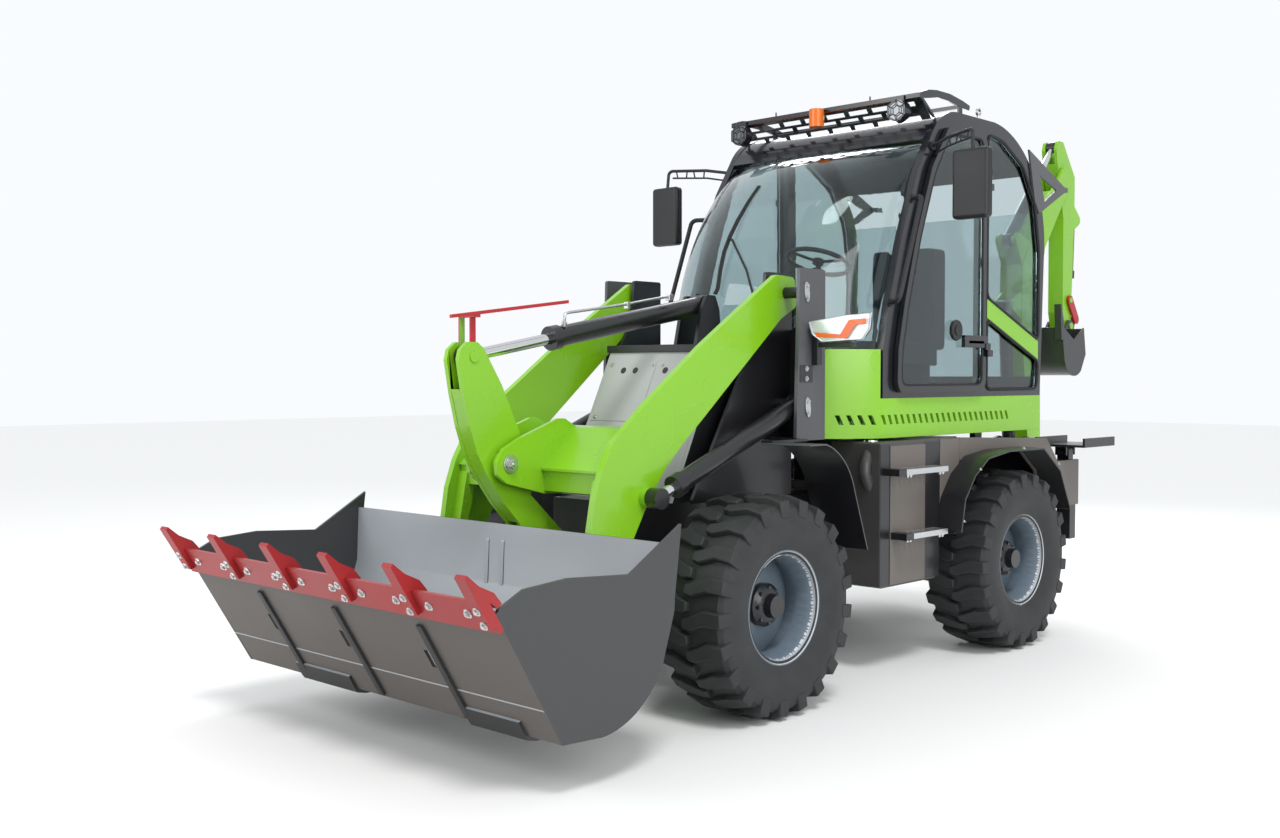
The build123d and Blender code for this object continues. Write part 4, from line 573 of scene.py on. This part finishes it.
# Fenders, frames, axles and tanks
# Folded plate. The tank's side has two recesses behind the steps, where thin black sheets are
# painted shade, and the panel behind them is dull where dust lies on it.
side_brown = enamel("dusty side panel", (0.135, 0.118, 0.105), 0.5, shade=0.8, coat=0.1)
tank_grey = enamel("tank grey", (0.050, 0.048, 0.047), 0.4, coat=0.15)
eased("rear_frame", black, zones=[(side_brown, lambda x, y, z, n: abs(y) > 799 and z > 780 and x > -2160)])
for node in ("front_axle", "rear_axle", "rear_fenders", "swing_post"):
    eased(node, black)
# Painted shade: the fenders' downward faces are black, darker than their grey tops.
eased("front_fenders", dark_grey, zones=[(black, lambda x, y, z, n: n.z < -0.05 and abs(n.y) < 0.5)])
chrome = metal("hard chrome", (0.78, 0.79, 0.80), 0.10)
step_zinc = metal("galvanized steps", (0.66, 0.67, 0.68), 0.36, 0.06)
TANK_FACE = 821


def on_the_cap(x, y, z, n):
    """The filler neck on the left tank."""
    return 20 < x < 130 and 670 < y < 775 and z > 1252 and (z > 1287 or n.z < 0.4)


eased(
    "side_tanks", tank_grey, 0.003,
    [(step_zinc, lambda x, y, z, n: abs(y) > TANK_FACE + 1 and -420 < x < 120), (chrome, on_the_cap)],
)
STEP_EDGE = 926
STEP_BOLT_LINE = 905
panels, recess_shade_sheets, ends = (bmesh.new() for _ in range(3))
for side in (1, -1):
    face = side * TANK_FACE
    block(panels, (-318, face, 500), (34, side * (TANK_FACE + 5), 1262))
    for x_low, x_high in ((34, 126), (-476, -318)):
        block(recess_shade_sheets, (x_low, face, 500), (x_high, side * (TANK_FACE + 1), 1272))
    plate(
        panels, ((-690, 1282), (-480, 1282), (-480, 780), (-500, 935), (-598, 1060), (-690, 1140)),
        face, side * (TANK_FACE + 3),
    )
    for step_z, front in ((755, 25), (1108, 100)):
        block(
            ends, (front - 70, side * (TANK_FACE + 1), step_z - 4),
            (front + 4, side * (STEP_EDGE + 2), step_z + 34),
        )
made(panels, "tank_side_panels", side_brown, "rear_body", width=0.002)
# Painted shade: thin black sheets on the tank's face stand for the shade in its recesses.
made(recess_shade_sheets, "tank_side_recess_shade", black, "rear_body")
made(ends, "step_end_brackets", black, "rear_body", width=0.002)
step_bolts = bmesh.new()
for side in (1, -1):
    for step_z in (755, 1108):
        for x in (-370, -340, -40, -10):
            y = side * STEP_BOLT_LINE
            bead(step_bolts, at(x, y, step_z - 16), at(x, y, step_z), 0.008)
            bolt(step_bolts, at(x, y, step_z - 2), (0, 0, -1), 0.009)
    for x, z in ((-1600, 1092), (-1150, 1206), (-640, 1105), (-465, 820)):
        bolt(step_bolts, at(x, side * 988, z + 2), (0, 0.2 * side, 1), 0.007)
made(step_bolts, "step_and_fender_bolts", zinc, "rear_body")

# Cab frame, roof and doors
# Formed tubes and sheet in gloss black; the slanted band behind each door is green. The doors'
# glass sits in a black rubber profile.
trim_black = enamel("gloss black", (0.009, 0.010, 0.013), 0.22, coat=0.5)
bracket_grey = enamel("bracket grey", (0.085, 0.085, 0.092), 0.42, coat=0.1)
CAB_SIDE = 750.4


def on_the_rear_bracket(x, y, z, n):
    """The triangular brackets at the cab's upper rear corners."""
    return x < -1600 and 700 < abs(y) < 763 and (abs(y) > CAB_SIDE + 0.1 or x < -1870)


eased(
    "cab_frame", trim_black, 0.005,
    [(zinc, lambda x, y, z, n: z > 3200 and -1150 < x < -1070), (bracket_grey, on_the_rear_bracket)],
)
for node in ("left_door", "right_door"):
    eased(node, trim_black, 0.004)
band = bmesh.new()
for side in (1, -1):
    plate(
        band, ((-1124, 2112), (-1124, 1998), (-1773, 1750), (-1773, 1866)),
        side * CAB_SIDE, side * 754,
    )
made(band, "green_bands", lime, "rear_body", width=0.002)


def rounded(outline, radius, steps=5):
    """The outline with its corners rounded."""
    corners = []
    for number, corner in enumerate(outline):
        here = Vector(corner)
        before = Vector(outline[number - 1]) - here
        after = Vector(outline[(number + 1) % len(outline)]) - here
        cut = min(radius, before.length * 0.45, after.length * 0.45)
        start, end = here + before.normalized() * cut, here + after.normalized() * cut
        for step in range(steps + 1):
            t = step / steps
            corners.append(start * (1 - t) ** 2 + here * 2 * t * (1 - t) + end * t * t)
    return corners


def tube_along(name, points, radius, paint, body, closed=False, sides=10):
    """A round bar or rubber profile along points in millimetres, with its radius in metres."""
    path = [Vector(p) for p in points]
    curve = bpy.data.curves.new(name, "CURVE")
    curve.dimensions = "3D"
    curve.bevel_depth = radius
    curve.bevel_resolution = max(1, sides // 4)
    curve.use_fill_caps = True
    line = curve.splines.new("POLY")
    line.points.add(len(path) - 1)
    for knot, spot in zip(line.points, path):
        knot.co = (*at(*spot), 1)
    line.use_cyclic_u = closed
    holder = bpy.data.objects.new(name + "_line", curve)
    bpy.context.collection.objects.link(holder)
    mesh = bpy.data.meshes.new_from_object(holder.evaluated_get(bpy.context.evaluated_depsgraph_get()))
    bpy.data.objects.remove(holder)
    shape = bmesh.new()
    shape.from_mesh(mesh)
    bmesh.ops.remove_doubles(shape, verts=shape.verts, dist=0.00001)
    return made(shape, name, paint, body, sharp=50)


DOOR_FACE = 779
WINDOW_FACE = 751
rubber_seal = enamel("rubber seal", (0.008, 0.008, 0.009), 0.6, peel=0.0, coat=0.0)
door_line = (
    (-95, 1550), (-1060, 1550), (-1060, 3105), (-620, 3085), (-440, 2830), (-285, 2440),
    (-165, 2050), (-105, 1790),
)
rear_line = (
    (-1120, 2120), (-1120, 3110), (-1300, 3090), (-1560, 2960), (-1720, 2740), (-1780, 2440), (-1780, 1870),
)
low_line = ((-1120, 1560), (-1120, 1990), (-1780, 1740), (-1760, 1560))


def inset(outline, distance):
    """The outline moved inwards by a distance, with its corners mitred."""
    area = sum(a[0] * b[1] - b[0] * a[1] for a, b in zip(outline, outline[1:] + outline[:1])) / 2
    turn = 1 if area > 0 else -1
    result = []
    for number, corner in enumerate(outline):
        here = Vector(corner)
        into = (here - Vector(outline[number - 1])).normalized()
        out = (Vector(outline[(number + 1) % len(outline)]) - here).normalized()
        left_in, left_out = Vector((-into.y, into.x)) * turn, Vector((-out.y, out.x)) * turn
        middle = (left_in + left_out).normalized()
        result.append(here + middle * distance / max(0.3, middle.dot(left_in)))
    return result


for name, side in (("left", 1), ("right", -1)):
    seal = [(p.x, side * DOOR_FACE, p.y) for p in rounded(inset(door_line, 42), 60)]
    tube_along(name + "_door_seal", seal, 0.008, rubber_seal, name + "_door", closed=True)
    for part, outline in (("rear", rear_line), ("lower", low_line)):
        seal = [(p.x, side * WINDOW_FACE, p.y) for p in rounded(inset(outline, 2), 50)]
        tube_along(f"{name}_{part}_window_seal", seal, 0.010, rubber_seal, "rear_body", closed=True)

# Door handles, wiper and mirror arms
# A round moulded handle over each door's lock. One wiper with a two-rib blade stands on the
# windscreen, and a second thin bar with struts stiffens each mirror arm.
handles = bmesh.new()
handles_right = bmesh.new()
for shape, side in ((handles, 1), (handles_right, -1)):
    bead(shape, at(-706, side * 776, 1911), at(-706, side * 796, 1911), 0.062)
    bead(shape, at(-706, side * 794, 1911), at(-706, side * 802, 1911), 0.030)
    block(shape, (-1010, side * 790, 1834), (-830, side * 800, 1856))
made(handles, "left_door_handle", plastic, "left_door", width=0.003)
made(handles_right, "right_door_handle", plastic, "right_door", width=0.003)

screen_line = (
    (500, 2100), (478, 2130), (455, 2240), (422, 2340), (372, 2430), (300, 2530), (206, 2640), (110, 2738),
)
for shift, radius in ((0, 0.009), (14, 0.006)):
    blade_line = [(x + 12 + shift, -20, z + 4) for x, z in screen_line]
    tube_along(f"wiper_blade_{shift}", blade_line, radius, plastic, "rear_body")
arm_line = ((452, 226, 2080), (470, 214, 2092), (448, 150, 2230), (404, 10, 2410), (392, -20, 2424))
tube_along("wiper_arm", arm_line, 0.007, plastic, "rear_body")
pivots = bmesh.new()
bead(pivots, at(430, 228, 2078), at(474, 224, 2082), 0.019)
made(pivots, "wiper_pivot", plastic, "rear_body", width=0.002)
for side in (1, -1):
    name = "left" if side > 0 else "right"
    under = [(-486, side * 770, 2912), (-424, side * 896, 2936), (-312, side * 1098, 2944)]
    tube_along(name + "_mirror_brace", under, 0.006, plastic, "rear_body")
    for number, t in enumerate((0.1, 0.35, 0.6, 0.85)):
        low = Vector(under[1]).lerp(Vector(under[2]), t)
        high = (low.x + 2, low.y + side * (12 if number % 2 else -8), low.z + 48)
        tube_along(f"{name}_mirror_strut_{number}", (low, high), 0.005, plastic, "rear_body")

# Mirrors and grab rails
# Moulded shells on long arms of bent black tube, with their glass facing backwards. A grab rail
# of the same tube stands beside each door.
mirror_glass = metal("mirror glass", (0.74, 0.77, 0.80), 0.05)
eased(
    "mirrors_and_rails", plastic, 0.003,
    [(mirror_glass, lambda x, y, z, n: n.x < -0.95 and x < -320 and abs(y) > 1000)],
)

# Roof rack, its lamps and the beacon
# Punched sheet slanting down from a front bar, with an arched plate at each end. Each round lamp
# sits behind a wire guard, and the beacon's ribbed lens is orange plastic.
lamp_lens = metal("work lamp lens", (0.20, 0.21, 0.22), 0.20)
beacon_lens, beacon_shader = new_finish("beacon lens")
beacon_shader.inputs["Base Color"].default_value = (0.90, 0.20, 0.012, 1)
beacon_shader.inputs["Roughness"].default_value = 0.18
beacon_shader.inputs["Transmission Weight"].default_value = 0.25


def on_the_beacon(x, y, z, n):
    """The beacon, which hangs under the middle of the rack's front bar."""
    return x > -450 and abs(y) < 47 and z < 3248 and n.z < 0.5 and (z > 3160 or n.z < -0.5)


eased(
    "roof_rack", trim_black, 0.0015,
    [
        (lamp_lens, lambda x, y, z, n: n.x > 0.95 and x > -376 and abs(y) > 515),
        (beacon_lens, on_the_beacon),
    ],
)
GUARD_OUTER, GUARD_INNER, GUARD_WIRE = 62, 32, 0.0028
guards = bmesh.new()
beacon_ribs = bmesh.new()


def round_the_lamp(x, side, reach, turn):
    """A point of a lamp's guard, at a distance from the lamp's middle."""
    return at(x, side * 584 + reach * math.cos(turn), 3168 + reach * math.sin(turn))


for side in (1, -1):
    for number in range(6):
        start, end = (math.radians(60 * number + 30 + k) for k in (0, 60))
        for reach, x in ((GUARD_OUTER, -362), (GUARD_INNER, -358)):
            ends = [round_the_lamp(x, side, reach, turn) for turn in (start, end)]
            bead(guards, *ends, GUARD_WIRE)
        bead(
            guards, round_the_lamp(-358, side, GUARD_INNER, start),
            round_the_lamp(-371, side, GUARD_OUTER + 2, start), GUARD_WIRE,
        )
for number in range(9):
    bead(beacon_ribs, at(-401, 0, 3166 + number * 9), at(-401, 0, 3169 + number * 9), 0.0464)
made(guards, "work_lamp_guards", trim_black, "rear_body")
made(beacon_ribs, "beacon_ribs", beacon_lens, "rear_body")

# Hydraulic cylinders
# Honed tube with welded eyes in black, a turned gland ring at each end and hard-chromed rods.
# A zinc-plated pipe runs along the tilt cylinder to its gland.
cylinder_black = enamel("cylinder black", (0.012, 0.012, 0.014), 0.30, coat=0.35)
for node in ("tilt_barrel", "lift_barrels", "boom_barrel", "dipper_barrel", "hoe_bucket_barrel"):
    eased(node, cylinder_black, 0.003)


def near(spot, radius):
    """A test for faces round a pin, seen from the side."""
    return lambda x, y, z, n: math.hypot(x - spot[0], z - spot[1]) < radius


ROD_EYES = (
    # node, its eye (x, z), radius round it
    ("tilt_rod", (2310, 1733), 62), ("lift_rods", (1683, 1072), 66), ("boom_rod", (-2262, 2130), 60),
    ("dipper_rod", (-2945, 3305), 60), ("hoe_bucket_rod", (-3199, 2062), 54),
)
for node, eye, reach in ROD_EYES:
    eased(node, chrome, 0.002, [(cylinder_black, near(eye, reach))])
pipe = (
    (979, 50, 2063), (1010, 50, 2062), (1292, 50, 2014), (1700, 50, 1958), (1733, 50, 1950),
    (1730, 44, 1922), (1724, 36, 1900),
)
tube_along("tilt_cylinder_pipe", pipe, 0.0075, zinc, "tilt_barrel", sides=16)
fittings = bmesh.new()
block(fittings, (955, 34, 2046), (989, 66, 2078))
block(fittings, (1280, 30, 1990), (1300, 60, 2026))
bead(fittings, at(1724, 40, 1914), at(1722, 30, 1890), 0.014)
made(fittings, "tilt_cylinder_fittings", zinc, "tilt_barrel", width=0.002)

# Pins, links and their nuts
# Zinc-plated pins. The bellcrank's pivot is drawn up with a nut and washer, and the backhoe's
# bucket links are red.
for node in ("bucket_pins", "crank_pin", "link_pin"):
    eased(node, zinc, 0.002)
for node in ("hoe_lever", "hoe_link"):
    eased(node, red)
for node in ("tilt_link", "slide_carriage", "left_stabilizer", "right_stabilizer", "left_pad", "right_pad"):
    eased(node, black)
CRANK_PIVOT_X, CRANK_PIVOT_Z = 2140, 1232
pivot_bolts = bmesh.new()
for pin_end, side in ((121, 1), (-113, -1)):
    bolt(pivot_bolts, at(CRANK_PIVOT_X, pin_end, CRANK_PIVOT_Z), (0, side, 0), 0.019)
made(pivot_bolts, "bellcrank_pivot_nuts", zinc, "loader_arms", sharp=30)


# Driver's seat
# Two foam cushions in woven fabric, on a moulded plastic base that stands on the cab's floor. The
# cushions swell out a little from their blocks.
def mottled(name, texture, output, detail, scale, dark, light, bump_strength, roughness):
    """A dull surface whose tint and bump follow one fine pattern."""
    finish, shader = new_finish(name)
    tree = finish.node_tree
    place = tree.nodes.new("ShaderNodeTexCoord")
    pattern = tree.nodes.new(texture)
    pattern.inputs["Scale"].default_value = scale
    pattern.inputs["Detail"].default_value = detail
    tint = tree.nodes.new("ShaderNodeMix")
    tint.data_type = "RGBA"
    tint.inputs["A"].default_value = (*dark, 1)
    tint.inputs["B"].default_value = (*light, 1)
    bump = tree.nodes.new("ShaderNodeBump")
    bump.inputs["Strength"].default_value = bump_strength
    bump.inputs["Distance"].default_value = 0.002
    tree.links.new(place.outputs["Object"], pattern.inputs["Vector"])
    tree.links.new(pattern.outputs[output], tint.inputs["Factor"])
    tree.links.new(tint.outputs["Result"], shader.inputs["Base Color"])
    tree.links.new(pattern.outputs[output], bump.inputs["Height"])
    tree.links.new(bump.outputs["Normal"], shader.inputs["Normal"])
    shader.inputs["Roughness"].default_value = roughness
    return finish


fabric = mottled(
    "seat fabric", "ShaderNodeTexVoronoi", "Distance", 0, 420, (0.030, 0.036, 0.046), (0.105, 0.118, 0.140),
    0.5, 0.85,
)
seat_base = bmesh.new()
block(seat_base, (-1370, -210, 1390), (-990, 210, 1724))
made(seat_base, "seat_base", plastic, "rear_body", ["seat"], 0.02)


def cushion(name, low, high, axis, swell):
    """A foam cushion: a block that swells out along one axis, with a soft edge."""
    shape = bmesh.new()
    block(shape, low, high)
    bmesh.ops.subdivide_edges(shape, edges=shape.edges, cuts=9, use_grid_fill=True)
    middle = at(*((Vector(low) + Vector(high)) / 2))
    half = (Vector(high) - Vector(low)) / 2000
    for corner in shape.verts:
        offset = corner.co - middle
        share = [offset[k] / half[k] for k in range(3)]
        flat = 1.0
        for k in range(3):
            if k != axis:
                flat *= 1 - abs(share[k]) ** 4
        corner.co[axis] += math.copysign(swell * flat - 0.018 * (1 - flat), share[axis]) * abs(share[axis])
    piece = made(shape, name, fabric, "rear_body", sharp=80)
    rounding = piece.modifiers.new("soft edge", "SUBSURF")
    rounding.levels = 1
    rounding.render_levels = 1


cushion("seat_cushion", (-1398, -248, 1724), (-904, 248, 1852), 2, 0.006)
cushion("seat_back", (-1478, -238, 1812), (-1354, 238, 2472), 0, 0.006)

# Cab interior and engine
# The console and the steering wheel are moulded plastic. The engine, one plain block, sits
# between the frame's rails under the cab.
for node in ("steering_console", "steering_wheel"):
    eased(node, plastic, 0.003)
eased("engine_block", black)

# Windows
# Toughened, lightly tinted glass, held by the rubber profiles of the cab and the doors. The
# windscreen is one curved pane.
glass, glass_shader = new_finish("tinted glass")
glass_shader.inputs["Base Color"].default_value = (0.52, 0.62, 0.63, 1)
glass_shader.inputs["Roughness"].default_value = 0.02
glass_shader.inputs["Transmission Weight"].default_value = 1.0
glass_shader.inputs["IOR"].default_value = 1.45
for node in ("cab_glass", "left_door_glass", "right_door_glass"):
    eased(node, glass, 0)

# Tyres: wide loader tyres on 20-inch rims
# Moulded black rubber. The bars run from each shoulder to the middle, the left and right rows half
# a pitch apart, and turn down over the shoulder.
rubber = mottled(
    "tyre rubber", "ShaderNodeTexNoise", "Fac", 8, 9, (0.010, 0.011, 0.012), (0.030, 0.031, 0.032),
    0.25, 0.62,
)
TYRE_RADIUS = 0.5375
BAR_FOOT = 0.49
SHOULDER, SHOULDER_WIDTH, SHOULDER_DROP = 0.13, 0.076, 0.020
BARS = 21


def spun(profile, steps):
    """Turn a closed profile of (outward distance, radius) about the axle, which lies along Y."""
    shape = bmesh.new()
    corners = [shape.verts.new((0, y, radius)) for y, radius in profile]
    edges = [shape.edges.new(pair) for pair in zip(corners, corners[1:] + corners[:1])]
    bmesh.ops.spin(
        shape, geom=corners + edges, cent=(0, 0, 0), axis=(0, 1, 0), angle=2 * math.pi, steps=steps,
        use_merge=True, use_duplicate=False,
    )
    bmesh.ops.remove_doubles(shape, verts=shape.verts, dist=0.00001)
    bmesh.ops.recalc_face_normals(shape, faces=shape.faces)
    return shape


carcass_profile = (
    (0.168, 0.256), (0.178, 0.290), (0.197, 0.330), (0.205, 0.385), (0.203, 0.440), (0.192, 0.478),
    (0.170, 0.497), (0.120, 0.504), (0.0, 0.507),
)
carcass_profile += tuple((-y, radius) for y, radius in reversed(carcass_profile[:-1]))
bar_plan = (
    # across the tread, round the tread: the outline of one bar on the left half
    (0.206, -0.040), (0.206, 0.040), (0.120, 0.034), (0.035, 0.066), (-0.012, 0.056), (-0.012, 0.006),
    (0.030, -0.006), (0.110, -0.046),
)


def add_bar(shape, side, angle):
    """Raise one bar from its plan, round its end over the shoulder and turn it to its place."""
    outline = [shape.verts.new((step, side * across, BAR_FOOT)) for across, step in bar_plan]
    base = shape.faces.new(outline if side < 0 else outline[::-1])
    top = bmesh.ops.extrude_face_region(shape, geom=[base])["geom"]
    raised = [item for item in top if isinstance(item, bmesh.types.BMVert)]
    for corner in raised:
        past = max(0.0, abs(corner.co.y) - SHOULDER) / SHOULDER_WIDTH
        corner.co.z = TYRE_RADIUS - 0.0005 - SHOULDER_DROP * past * past
        corner.co.x *= 0.86
        corner.co.y *= 0.985
    for corner in outline + raised:
        if abs(corner.co.y) > 0.2 and corner.co.z < 0.5:
            corner.co.z = 0.435
        turn = angle + corner.co.x / 0.52
        corner.co = Vector((corner.co.z * math.sin(turn), corner.co.y, corner.co.z * math.cos(turn)))


for end in ("front", "rear"):
    for name, side in (("left", 1), ("right", -1)):
        tyre = spun(carcass_profile, 96)
        for number in range(BARS):
            for half in (1, -1):
                add_bar(tyre, half, 2 * math.pi * (number + (0.25 if half > 0 else 0.75)) / BARS)
        bmesh.ops.recalc_face_normals(tyre, faces=tyre.faces)
        bmesh.ops.translate(tyre, verts=tyre.verts, vec=middle_of(f"{end}_{name}_tyre"))
        smooth_below(tyre, 30)
        tyre_piece = piece_from(
            tyre, f"{end}_{name}_tyre_tread", rubber, f"{end}_{name}_wheel", [f"{end}_{name}_tyre"]
        )
        ease_edges(tyre_piece, 0.006, angle=40, harden=False)

# Rims
# Pressed steel discs welded into rolled rims with a bright silver flange; inside the flange the
# shade of the dish is painted dark blue-grey. Studs hold each disc to the black planetary hub.
HUB_RADIUS, FLANGE_RADIUS = 112, 252
silver = enamel("silver enamel", (0.50, 0.53, 0.56), 0.34, coat=0.25)
# Painted shade: everything inside the flange except the hub is darkened, where the dish is shaded.
rim_painted_shade = enamel("blue grey painted shade", (0.115, 0.150, 0.185), 0.38, coat=0.2)
for end in ("front", "rear"):
    for name in ("left", "right"):
        centre = middle_of(f"{end}_{name}_rim") - Vector((mid_x, 0, 0))
        axle = (centre.x * 1000, centre.z * 1000)
        eased(
            f"{end}_{name}_rim", silver, 0.002,
            [(rim_painted_shade, near(axle, FLANGE_RADIUS)), (black, near(axle, HUB_RADIUS))],
        )
